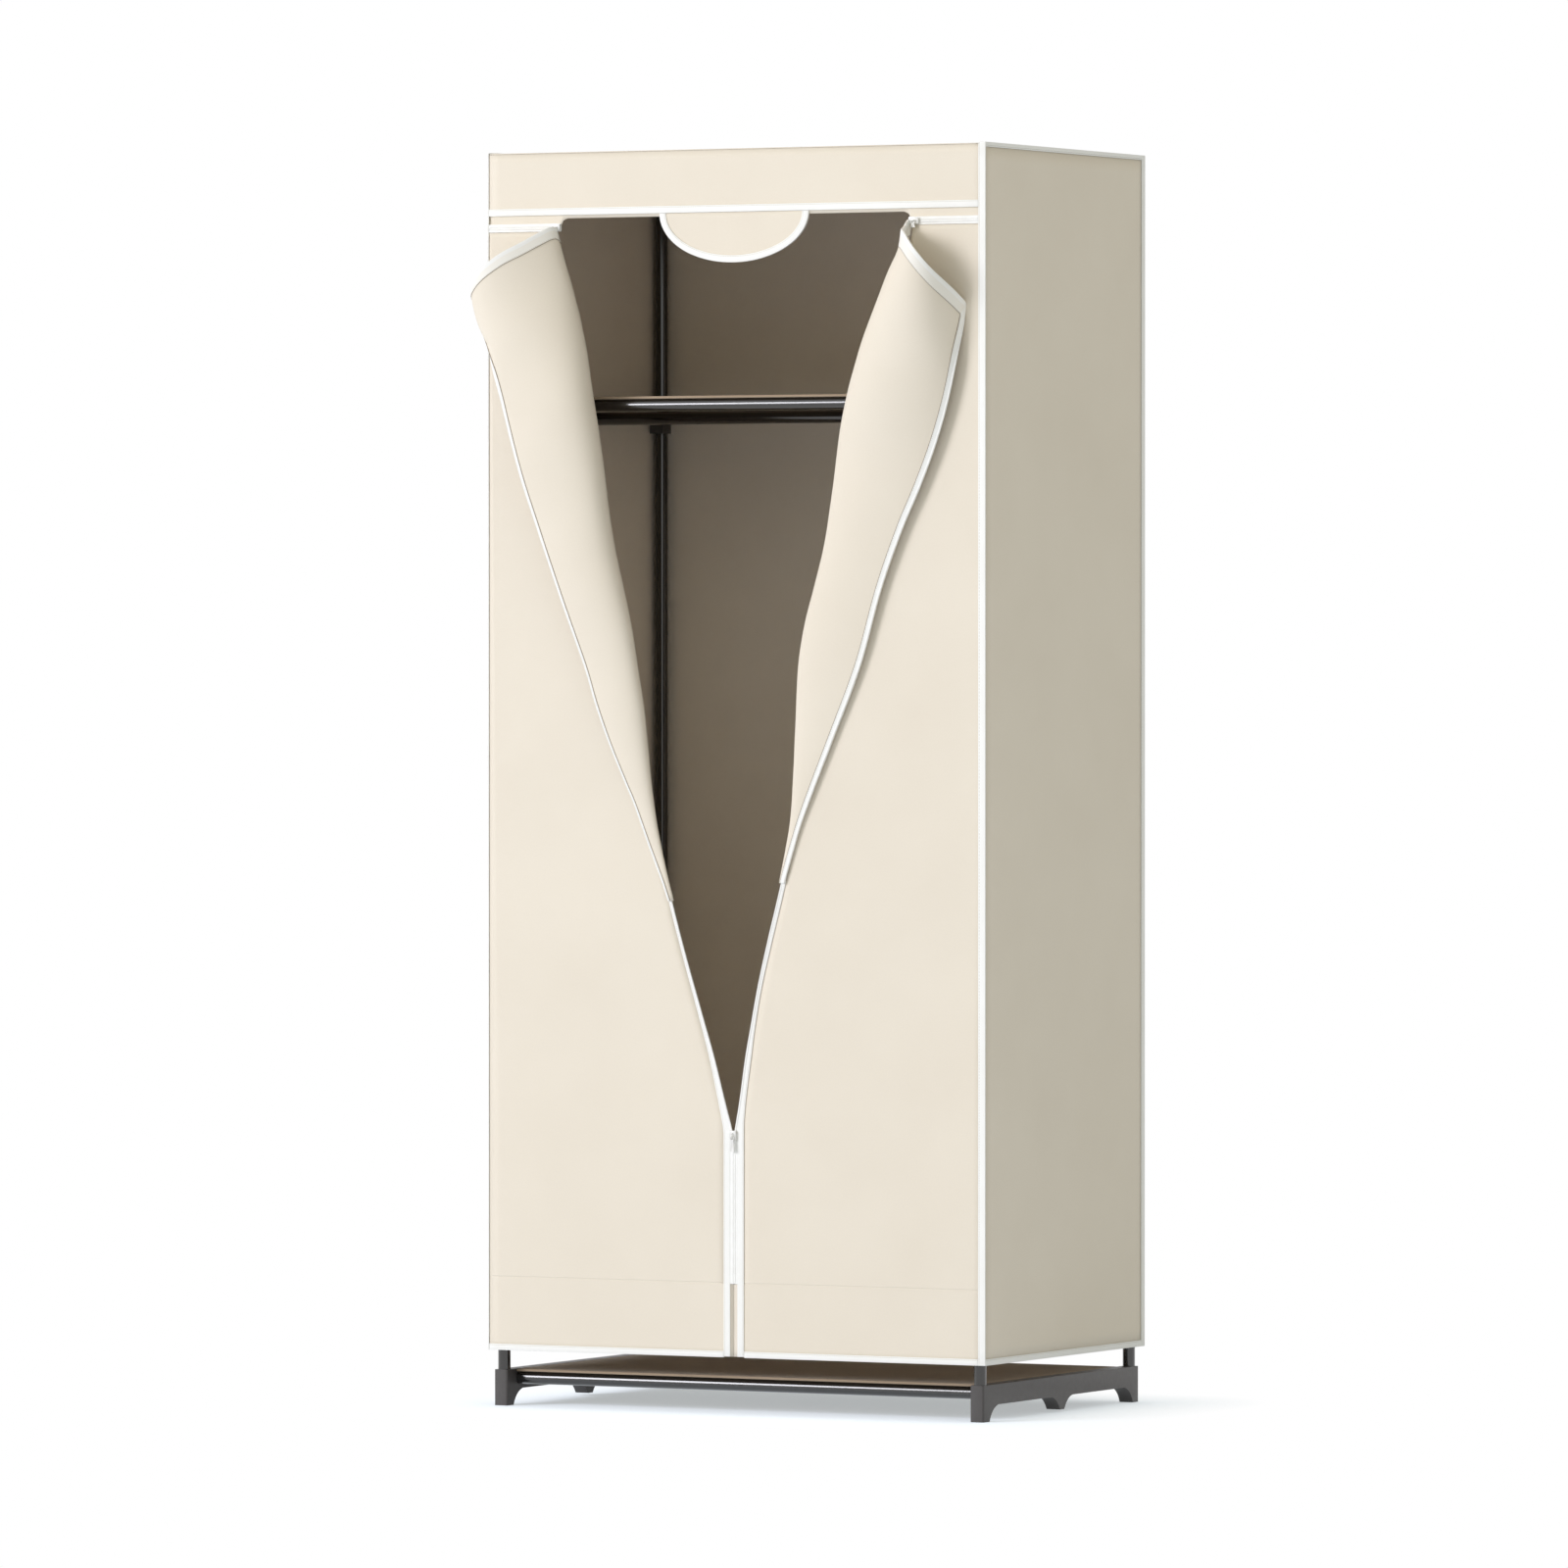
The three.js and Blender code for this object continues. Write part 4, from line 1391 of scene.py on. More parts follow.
LAPEL_SHAPES = (
    LapelShape(
        side=Side.LEFT,
        hinge=((104.0, 709.0), (262.0, 1492.0)),
        throat=(
            (355, 0.6), (394, 12.0), (450, 27.5), (505, 45.0), (579, 68.5), (648, 88.5), (709, 104.0),
        ),
        throat_tape=((355, 13.0), (394, 10.0), (450, 7.6), (505, 6.0), (579, 5.0), (709, 5.0)),
        fold=(
            (648, 88.7), (673, 95.8), (709, 104.9), (746, 113.8), (796, 122.9), (846, 129.8), (895, 137.0),
            (945, 147.0), (995, 156.9), (1044, 169.7), (1094, 183.2), (1144, 193.3), (1194, 201.5),
            (1244, 210.7), (1294, 219.9), (1347, 227.3), (1394, 234.0), (1444, 245.2), (1492, 258.4),
        ),
        edge=(
            (648, 92.8), (673, 102.0), (710, 117.1), (772, 139.5), (796, 150.0), (846, 171.0),
            (895, 188.5), (945, 203.5), (1045, 238.4), (1119, 263.6), (1175, 282.0), (1244, 300.7),
            (1294, 312.8), (1353, 329.0), (1385, 343.0), (1410, 349.0), (1440, 352.0),
        ),
        roll=34.0,
        pinch=0.4,
        bulge=1.95,
        reach=62.0,
        corner=42.0,
        curl=(0.35, 1.0),
        curl_span=(0.82, 0.93),
        edge_tape=(3.5, 7.0),
        top_tape=16.0,
        slope=((0.0, 0.1), (0.5, 0.16), (0.75, 0.16), (0.9, 0.06), (1.0, 0.0)),
        shoulder=((0.0, -0.1), (0.6, -0.1), (0.75, -0.05), (0.85, 0.3), (0.93, 0.5), (1.0, 0.5)),
        top_rise=(
            (0.0, 2.0), (0.04, 5.0), (0.09, 11.0), (0.14, 11.0), (0.2, 8.5), (0.3, 5.5), (0.4, 3.6),
            (0.55, 3.0), (0.7, 0.0), (0.8, -3.0), (0.9, -6.0), (1.0, -6.0),
        ),
    ),
    LapelShape(
        side=Side.RIGHT,
        hinge=((74.0, 708.0), (254.9, 1492.0)),
        throat=(
            (355, 0.6), (394, 7.8), (450, 16.3), (488, 23.6), (543, 34.6), (598, 48.0), (672, 67.4),
            (709, 75.0),
        ),
        throat_tape=((355, 13.0), (394, 9.0), (450, 8.4), (488, 6.4), (543, 5.8), (598, 6.5), (709, 6.5)),
        fold=(
            (672, 67.7), (709, 75.5), (741, 82.5), (772, 87.0), (871, 95.5), (945, 101.5), (995, 112.0),
            (1044, 127.8), (1093, 142.2), (1162, 156.3), (1235, 170.2), (1285, 184.9), (1328, 199.7),
            (1365, 212.0), (1408, 226.5), (1439, 236.7), (1466, 248.0), (1492, 252.7),
        ),
        edge=(
            (672, 73.4), (710, 85.5), (747, 98.0), (796, 118.5), (846, 140.5), (945, 182.8), (1044, 214.3),
            (1117, 243.8), (1166, 267.4), (1215, 288.4), (1263, 305.1), (1312, 317.5), (1355, 324.1),
            (1392, 326.8),
        ),
        roll=23.0,
        pinch=0.35,
        bulge=3.0,
        reach=14.0,
        corner=5.0,
        curl=(0.0, 0.5),
        curl_span=(0.86, 1.0),
        edge_tape=(7.0, 9.5),
        top_tape=23.0,
        slope=(
            (0.0, 0.08), (0.5, 0.16), (0.65, 0.22), (0.75, 0.4), (0.85, 0.6), (0.93, 0.85), (1.0, 0.9),
        ),
        shoulder=((0.0, 0.1), (0.75, 0.1), (0.93, 0.25), (1.0, 0.25)),
        top_rise=(
            (0.0, 16.0), (0.06, 8.0), (0.12, 1.0), (0.2, 2.0), (0.28, 6.0), (0.36, 12.0), (0.5, 15.0),
            (0.7, 15.5), (0.88, 15.5), (1.0, 10.0),
        ),
    ),
)


def ridge(
    path: Line, across: Line, out: Line, length: float,
    pitch: float = 1.6, half: float = 1.3, height: float = 1.1, rib_share: float = 0.3,
) -> Mesh:
    """The coil along one side of a zip, as a ribbed ridge.

    Args:
        path: The ridge's middle by its share of the length, in metres.
        across: The way across the ridge there.
        out: The way it stands out there.
        length: Its length in millimetres.
        pitch: Distance from rib to rib.
        half: Half of its width.
        height: Its height.
        rib_share: Share of the height that comes and goes with the ribs.

    Returns:
        The ridge.
    """
    steps = max(int(length / pitch * 4), 8)

    def place(s: float, t: float) -> Vector:
        """A point of the ridge.

        Args:
            s: Share of the way along it.
            t: Share of the way over it.

        Returns:
            The point in metres.
        """
        rib = 1 - rib_share + rib_share * math.cos(math.tau * s * length / pitch)
        angle = math.pi * t
        sideways = across(s) * (-math.cos(angle) * half * MM)
        return path(s) + sideways + out(s) * (math.sin(angle) * height * rib * MM)

    return grid(steps, 4, place, metric(length, 2 * half), out(0.5))


@dataclass
class TurnedBackDoors:
    """The two doors: the cloth in the front plane, the lapels and their tapes. In millimetres."""

    sizes: CoverSizes
    palette: Palette
    inner_band: float = 0.66
    lapel_tape_edge: float = 0.5
    door_tape_edge: float = 0.25
    tape_wrap: float = 2.3
    tape_columns: int = 200
    coil_inset: float = 1.3
    coil_share: float = 0.97
    coil_look: float = 3.0
    coil_step: float = 0.0025
    coil_start: float = 2.0
    cloth_steps: tuple[int, int] = (30, 90)
    door_steps: int = 22
    seam: float = 165.5
    seam_depth: float = 0.45
    seam_margin: float = 2.5
    seam_rows: tuple[float, ...] = (-0.5, 0.0, 0.5, 2.0)
    stop_rows: Pair = (0.4, 0.2)
    row_counts: tuple[int, int, int, int] = (8, 8, 16, 44)
    door_wave: Wave = Wave(1.1, 170.0, 31.0)
    held_share: float = 0.15
    held_low: Pair = (90.0, 220.0)
    held_high: Pair = (1380.0, 1480.0)
    tape_tail: float = 3.0

    def build(self) -> None:
        """Builds and dresses both doors."""
        for shape in LAPEL_SHAPES:
            lapel = Lapel(self.sizes, shape)
            self.add_lapel(lapel)
            self.add_lapel_tape(lapel)
            self.add_lapel_coil(lapel)
            self.add_door(lapel)
            self.add_door_tape(lapel)
            self.add_door_coil(lapel)

    def bend(self, piece: bpy.types.Object, lapel: Lapel) -> None:
        """Bakes a piece's placement into its mesh; the line between the door and its lapel is worked out
        but not used.
        """
        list(lapel.bend_line())
        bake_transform(piece)

    def add_lapel(self, lapel: Lapel) -> None:
        """Adds the cloth that is turned back, roll and lapel in one.

        Args:
            lapel: The lapel's curve.
        """
        label = lapel.shape.side.label
        length = lapel.length

        def place(s: float, t: float) -> Vector:
            """A point of the cloth, in metres of the part."""
            return lapel.cut((1 - s) * lapel.width(t), (1 - t) * length)

        def unwrap(s: float, t: float, middle: float) -> Pair:
            """Its place on the flat cut, in metres."""
            return (1 - s) * lapel.width(t) * MM, t * length * MM

        bm = grid(*self.cloth_steps, place, unwrap, FRONT)
        stand = Stand(Slot.COVER, (f"lapel_roll_{label}", f"lapel_{label}"), "")
        piece = make_piece(f"lapel_{label}_cloth", bm, [self.palette.cover] * 2, stand)
        thicken(piece, self.sizes.cloth, 0)
        self.bend(piece, lapel)
        widest = max(lapel.width(i / 20) for i in range(21))

    def add_lapel_tape(self, lapel: Lapel) -> None:
        """Adds the tape on the lapel's free and top edges, its top in two bands.

        Args:
            lapel: The lapel's curve.
        """
        label = lapel.shape.side.label
        length = lapel.length
        top_width, top_tape = lapel.width(1.0), lapel.shape.top_tape
        share = round(length / (length + top_width) * self.tape_columns) / self.tape_columns

        def edge_width(v: float) -> float:
            """Width of the tape on the free edge."""
            return mix(*lapel.shape.edge_tape, v)

        def place(s: float, t: float) -> Vector:
            """A point of the tape.

            Args:
                s: Share of the way up the free edge and along the top edge.
                t: Share of the way to the tape's outer side.

            Returns:
                The point in metres of the part.
            """
            if s <= share:
                up = s / share * mix(length - top_tape, length, t)
                return lapel.cut(edge_width(s / share) * (1 - t), length - up)
            part = (s - share) / (1 - share)
            return lapel.cut(mix(edge_width(1.0) * (1 - t), top_width, part), top_tape * (1 - t))

        def unwrap(s: float, t: float, middle: float) -> Pair:
            """Its place on the flat tape, in metres."""
            wide = edge_width(s / share) if s <= share else top_tape
            return s * (length + top_width) * MM, t * wide * MM

        def paint(s: float, t: float) -> int:
            """1 on the inner band of the top tape, 0 elsewhere."""
            return 1 if s > share and t < self.inner_band else 0

        bm = grid(self.tape_columns, 6, place, unwrap, FRONT, paint)
        stand = Stand(Slot.BINDING, (f"lapel_tape_{label}",), "")
        tapes = [self.palette.lapel_tape, self.palette.lapel_inner_tape]
        piece = make_piece(f"lapel_{label}_tape", bm, tapes, stand)
        thicken(piece, self.tape_wrap, 0)
        soften(piece, self.lapel_tape_edge, angle=60)
        self.bend(piece, lapel)

    def add_lapel_coil(self, lapel: Lapel) -> None:
        """Adds the open zip's coil on the lapel's free edge.

        Args:
            lapel: The lapel's curve.
        """
        length = lapel.length

        def path(s: float, inset: float = self.coil_inset) -> Vector:
            """A point this far in from the free edge, from its top down."""
            return lapel.cut(inset, length * (1 - s * self.coil_share))

        def across(s: float) -> Vector:
            """The way from the coil into the cloth."""
            return (path(s, self.coil_inset + self.coil_look) - path(s)).normalized()

        def out(s: float) -> Vector:
            """The way that the coil stands out of the cloth.

            Args:
                s: Share of the way down the coil.

            Returns:
                The way there, of length 1.
            """
            along = path(min(s + self.coil_step, 1.0)) - path(max(s - self.coil_step, 0.0))
            normal = along.cross(across(s)).normalized()
            return normal if normal.y < 0 else -normal

        def lifted(s: float) -> Vector:
            """The coil's middle, on the tape's face."""
            return path(s) + out(s) * (self.tape_wrap / 2 * MM)

        coil = ridge(lifted, across, out, length * self.coil_share)
        name = f"lapel_{lapel.shape.side.label}_coil"
        piece = make_piece(name, coil, [self.palette.zip], Stand(Slot.ZIP, (), ""))
        self.bend(piece, lapel)

    def door_heights(self, lapel: Lapel) -> list[float]:
        """Heights of the rows of a door's cloth, closer where its open edge curves or is sewn.

        Args:
            lapel: The lapel's curve.

        Returns:
            The heights from the hem up.
        """
        z, seam = self.sizes, self.seam
        fold_low, fold_top = lapel.fold(0.0).y, lapel.fold(1.0).y
        below_seam, below_apex, below_fold, in_fold = self.row_counts
        return [
            z.wall_low,
            *spread(z.wall_low, seam - self.seam_margin, below_seam),
            *(z.zip_stop - drop for drop in self.stop_rows),
            *(seam + rise for rise in self.seam_rows),
            *spread(seam + self.seam_rows[-1], z.zip_apex, below_apex),
            *spread(z.zip_apex, fold_low, below_fold),
            *spread(fold_low, fold_top, in_fold),
            z.door_top,
        ]

    def add_door(self, lapel: Lapel) -> None:
        """Adds the cloth of a door that stays in the front plane.

        Args:
            lapel: The curve of the door's lapel.
        """
        z = self.sizes
        shape = lapel.shape
        label, sign = shape.side.label, shape.side.value
        heights = self.door_heights(lapel)
        zip_stop, fold_low = z.zip_stop - sum(self.stop_rows) / 2, lapel.fold(0.0).y

        def inner(height: float) -> float:
            """Where the door's open edge is.

            Args:
                height: Height to look at.

            Returns:
                How far the edge is from the cover's middle there.
            """
            if height < zip_stop:
                return z.gap / 2
            if height <= z.zip_apex:
                return z.chain_half + z.door_tape_cover
            if height < fold_low:
                return curve(shape.throat, height) + z.door_tape_cover
            return curve(shape.fold, height)

        def spot(s: float, t: float) -> Pair:
            """Distance from the cover's middle, and height, of a point of the door."""
            height = heights[round(t * (len(heights) - 1))]
            return mix(inner(height), z.wall_x, s), height

        def place(s: float, t: float) -> Vector:
            """A point of the door, loose between its seams and pressed in at the low one.

            Args:
                s: Share of the way from the open edge to the side.
                t: Share of the rows below it.

            Returns:
                The point in metres of the part.
            """
            x, height = spot(s, t)
            free = smoothstep(min(s, 1 - s), 0, self.held_share)
            free *= smoothstep(height, *self.held_low) * (1 - smoothstep(height, *self.held_high))
            pressed = self.seam_depth if abs(height - self.seam) < 0.1 else 0.0
            return at(sign * x, z.front + self.door_wave.height(x, height, sign) * free + pressed, height)

        def unwrap(s: float, t: float, middle: float) -> Pair:
            """Its place on the flat cut, in metres."""
            x, height = spot(s, t)
            return x * MM, height * MM

        bm = grid(self.door_steps, len(heights) - 1, place, unwrap, FRONT)
        cloths = [self.palette.cover, self.palette.lining]
        piece = make_piece(f"door_{label}_cloth", bm, cloths, Stand(Slot.COVER, (f"door_{label}",)))
        thicken(piece, z.cloth, -1, lined=True)

    def add_door_tape(self, lapel: Lapel) -> None:
        """Adds the zip tape beside the closed zip and up the open V.

        Args:
            lapel: The curve of the door's lapel.
        """
        z = self.sizes
        shape = lapel.shape
        label, sign = shape.side.label, shape.side.value
        top = lapel.fold(0.0).y + self.tape_tail
        heights = [z.wall_low, *spread(z.wall_low, z.zip_apex - 1, 12), *spread(z.zip_apex, top, 30)]

        def spot(t: float) -> Triple:
            """Where a row of the tape lies.

            Args:
                t: Share of the rows below it.

            Returns:
                The row's height, and how far its sides are from the cover's middle.
            """
            height = heights[round(t * (len(heights) - 1))]
            if height < z.zip_apex:
                return height, z.chain_half, z.chain_half + z.door_tape
            inner = curve(shape.throat, height)
            return height, inner, inner + curve(shape.throat_tape, height)

        def place(s: float, t: float) -> Vector:
            """A point of the tape, in metres of the part."""
            height, inner, outer = spot(t)
            return at(sign * mix(inner, outer, s), -z.half_depth, height)

        def unwrap(s: float, t: float, middle: float) -> Pair:
            """Its place on the flat tape, in metres."""
            height, inner, outer = spot(t)
            return height * MM, (1 - s) * (outer - inner) * MM

        bm = grid(4, len(heights) - 1, place, unwrap, FRONT)
        stand = Stand(Slot.BINDING, (f"door_tape_{label}",))
        piece = make_piece(f"door_{label}_tape", bm, [self.palette.tape], stand)
        thicken(piece, z.tape, -1)
        soften(piece, self.door_tape_edge, angle=60)

    def add_door_coil(self, lapel: Lapel) -> None:
        """Adds the open zip's coil along the inner edge of the V.

        Args:
            lapel: The curve of the door's lapel.
        """
        z = self.sizes
        side, throat = lapel.shape.side, lapel.shape.throat
        low, high = z.zip_apex + self.coil_start, lapel.fold(0.0).y

        def path(s: float) -> Vector:
            """A point of the coil's middle, from the apex up."""
            height = mix(low, high, s)
            return at(side.value * (curve(throat, height) + self.coil_inset), -z.half_depth, height)

        coil = ridge(path, lambda s: Vector((1, 0, 0)), lambda s: FRONT, high - low)
        make_piece(f"door_{side.label}_coil", coil, [self.palette.zip], Stand(Slot.ZIP))


@dataclass
class Bindings:
    """Tapes sewn over the cover's edges, in millimetres. A pair is for the left and the right."""

    sizes: CoverSizes
    palette: Palette
    side_front: Pair = (10.0, 1.5)
    front_face: Pair = (1.5, 10.0)
    side_rear: float = 10.0
    side_top: float = 6.0
    header_hem: float = 9.0
    ring_columns: int = 64
    ring_edge: float = 0.5
    hem_edge: float = 0.4
    sway: Wave = Wave(0.25, 60.0, 41.0)

    def build(self) -> None:
        """Builds and dresses all the bindings."""
        z = self.sizes
        for side in Side:
            self.add_ring(side)
        left_end, right_end = (z.half_width - face - z.gap for face in self.front_face)
        back = z.half_width - z.corner_tape - z.gap
        start = z.chain_half + z.door_tape + z.gap
        self.add_hem("hem_binding_front_left", (-left_end, -start), z.hem, z.hem_tape, -1)
        self.add_hem("hem_binding_front_right", (start, right_end), z.hem, z.hem_tape, -1)
        self.add_hem("hem_binding_back", (-back, back), z.hem, z.hem_tape, 1)
        self.add_hem("header_hem_binding", (-left_end, right_end), z.header_bottom, self.header_hem, -1)

    def add_ring(self, side: Side) -> None:
        """Adds the tape round all four edges of a side wall, folded over onto it.

        Args:
            side: The wall's side.
        """
        z = self.sizes
        which = 0 if side is Side.LEFT else 1
        front_leg, front_face = self.side_front[which], self.front_face[which]
        full = [
            (-z.half_depth, z.hem),
            (-z.half_depth, z.height),
            (z.half_depth, z.height),
            (z.half_depth, z.hem),
        ]
        near, far = -z.half_depth + front_leg, z.half_depth - self.side_rear
        low, high = z.hem + z.hem_tape, z.height - self.side_top
        inset = [(near, low), (near, high), (far, high), (far, low)]
        leg = [front_leg, self.side_top, self.side_rear, z.hem_tape]

        def edge(s: float) -> int:
            """Which of the four edges this share of the way round lies on."""
            return min(int(s * 4 + 1e-6), 3)

        def corner(points: list[Pair], s: float) -> Pair:
            """A point of a line round the wall.

            Args:
                points: The line's four corners as y and z.
                s: Share of the way round it.

            Returns:
                The point's y and z.
            """
            k = edge(s)
            part = smoothstep(s * 4 - k, 0, 1)
            first, second = points[k], points[(k + 1) % 4]
            return mix(first[0], second[0], part), mix(first[1], second[1], part)

        def turned_in(s: float) -> float:
            """How far the tape reaches in over the next wall."""
            half = 0.5 / self.ring_columns
            return front_face if s < 0.25 + half or s > 1 - half else z.corner_tape

        def place(s: float, t: float) -> Vector:
            """A point of the tape.

            Args:
                s: Share of the way round the wall.
                t: 0 at the turned-in side, 0.5 at the wall's edge and 1 on the wall.

            Returns:
                The point in metres of the part.
            """
            if t < 0.75:
                y, height = corner(full, s)
                x = z.half_width - turned_in(s) * (1 - min(t / 0.5, 1.0))
            else:
                y, height = corner(inset, s)
                x = z.half_width
            return at(side.value * x, y, height)

        def unwrap(s: float, t: float, middle: float) -> Pair:
            """A point's place on the flat tape.

            Args:
                s: Share of the way round the wall.
                t: Share of the way over the tape.
                middle: That share at the middle of the face.

            Returns:
                The place in metres.
            """
            around = s * 4 * z.height * MM
            if middle < 0.5:
                return around, turned_in(s) * min(t / 0.5, 1.0) * MM
            return around, leg[edge(s)] * (1 - t) * 2 * MM

        bm = grid(self.ring_columns, 2, place, unwrap, Vector((side.value, 0, 0)))
        name = f"side_binding_{side.label}"
        piece = make_piece(f"{name}_tape", bm, [self.palette.tape], Stand(Slot.BINDING, (name,)))
        thicken(piece, z.tape, -1)
        soften(piece, self.ring_edge, segments=3, angle=55)

    def add_hem(self, node: str, ends: Pair, low: float, wide: float, facing: int) -> None:
        """Adds a tape folded round a lower edge.

        Args:
            node: The node it replaces.
            ends: Its two ends across the cover.
            low: Height of its fold.
            wide: How far it comes up.
            facing: -1 at the front, 1 at the back.
        """
        z = self.sizes
        outer = facing * z.half_depth
        inner = facing * (-z.front - z.cloth - z.gap - z.tape)
        legs = [(outer, low + wide), (outer, low), (inner, low), (inner, low + wide)]
        depth = abs(outer - inner)
        stops = [0.0, wide, wide + depth, 2 * wide + depth]

        def place(s: float, t: float) -> Vector:
            """A point of the tape.

            Args:
                s: Share of the way along it.
                t: Share of the way round its fold.

            Returns:
                The point in metres of the part.
            """
            x = mix(*ends, s)
            y, height = legs[round(t * 3)]
            return at(x, y + facing * abs(self.sway.height(x, low)), height)

        def unwrap(s: float, t: float, middle: float) -> Pair:
            """Its place on the flat tape, in metres."""
            spot = stops[round(t * 3)]
            return s * (ends[1] - ends[0]) * MM, min(spot, stops[-1] - spot) * MM

        bm = grid(40, 3, place, unwrap, Vector((0, facing, 0)))
        under = [face for face in bm.faces if abs(face.normal.z) > 0.9]
        if under and under[0].normal.z > 0:
            bmesh.ops.reverse_faces(bm, faces=bm.faces)
        piece = make_piece(f"{node}_tape", bm, [self.palette.tape], Stand(Slot.BINDING, (node,)))
        thicken(piece, z.tape, -1)
        soften(piece, self.hem_edge, angle=55)


@dataclass
class Tongue:
    """Half-oval flap under the middle of the header, in millimetres."""

    sizes: CoverSizes
    palette: Palette
    width: float = 213.0
    drop: float = 63.7
    tape: float = 9.0
    tape_edge: float = 0.35
    swell: float = 2.4
    wave: Wave = Wave(0.5, 45.0, 52.0)
    cloth_share: float = 0.994

    def build(self) -> None:
        """Builds and dresses the flap and its binding."""
        self.add_cloth()
        self.add_tape()

    @property
    def top(self) -> float:
        """Height of the flap's upper edge."""
        return self.sizes.header_bottom - self.sizes.gap

    def lift(self, x: float, z: float) -> float:
        """How far the flap stands proud at a place of its front, given by its x and z."""
        down = (self.top - z) / self.drop
        return self.swell * down * down + self.wave.height(x, z) * down

    def add_cloth(self) -> None:
        """Adds the flap's cloth, which ends under its tape."""
        z = self.sizes
        half = self.width / 2 - self.tape / 2
        drop = self.drop - self.tape / 2
        reach = half * self.cloth_share

        def place(s: float, t: float) -> Vector:
            """A point of the cloth.

            Args:
                s: Share of the way round the flap's edge.
                t: Share of the way up from it.

            Returns:
                The point in metres of the part.
            """
            x = reach * math.sin((s - 0.5) * math.pi)
            low = drop * math.sqrt(1 - (x / half) ** 2)
            height = self.top - low * (1 - t)
            return at(x, z.front - self.lift(x, height), height)

        bm = grid(40, 10, place, metric(2 * reach, drop), FRONT)
        stand = Stand(Slot.COVER, ("tongue_flap",), "tongue")
        cloths = [self.palette.cover, self.palette.lining]
        piece = make_piece("tongue_cloth", bm, cloths, stand)
        thicken(piece, z.cloth, -1, lined=True)

    def add_tape(self) -> None:
        """Adds the tape folded round the flap's edge."""
        z = self.sizes
        half = self.width / 2

        def place(s: float, t: float) -> Vector:
            """A point of the tape.

            Args:
                s: Share of the way round the flap's edge.
                t: Share of the way round the tape's fold, from its front side.

            Returns:
                The point in metres of the part.
            """
            angle = math.pi * (1 + s)
            inset = self.tape * (1 - min(t * 3, 1.0)) if t < 0.5 else self.tape * max(t * 3 - 2, 0.0)
            x = (half - inset) * math.cos(angle)
            height = self.top + (self.drop - inset) * math.sin(angle)
            front = -z.half_depth if t < 0.5 else z.front + z.cloth + z.tape + z.gap
            return at(x, front - self.lift(x, height), height)

        around = math.pi * math.sqrt((half**2 + self.drop**2) / 2)
        stops = [0.0, self.tape, self.tape + 1, 0.0]

        def unwrap(s: float, t: float, middle: float) -> Pair:
            """Its place on the flat tape, in metres."""
            return s * around * MM, min(stops[round(t * 3)], self.tape) * MM

        bm = grid(72, 3, place, unwrap, FRONT)
        bm.normal_update()
        front = min(bm.faces, key=lambda face: face.calc_center_median().y)
        if front.normal.y > 0:
            bmesh.ops.reverse_faces(bm, faces=bm.faces)
        stand = Stand(Slot.BINDING, ("tongue_binding",), "tongue")
        piece = make_piece("tongue_tape", bm, [self.palette.tape], stand)
        thicken(piece, z.tape, -1)
        soften(piece, self.tape_edge, angle=55)


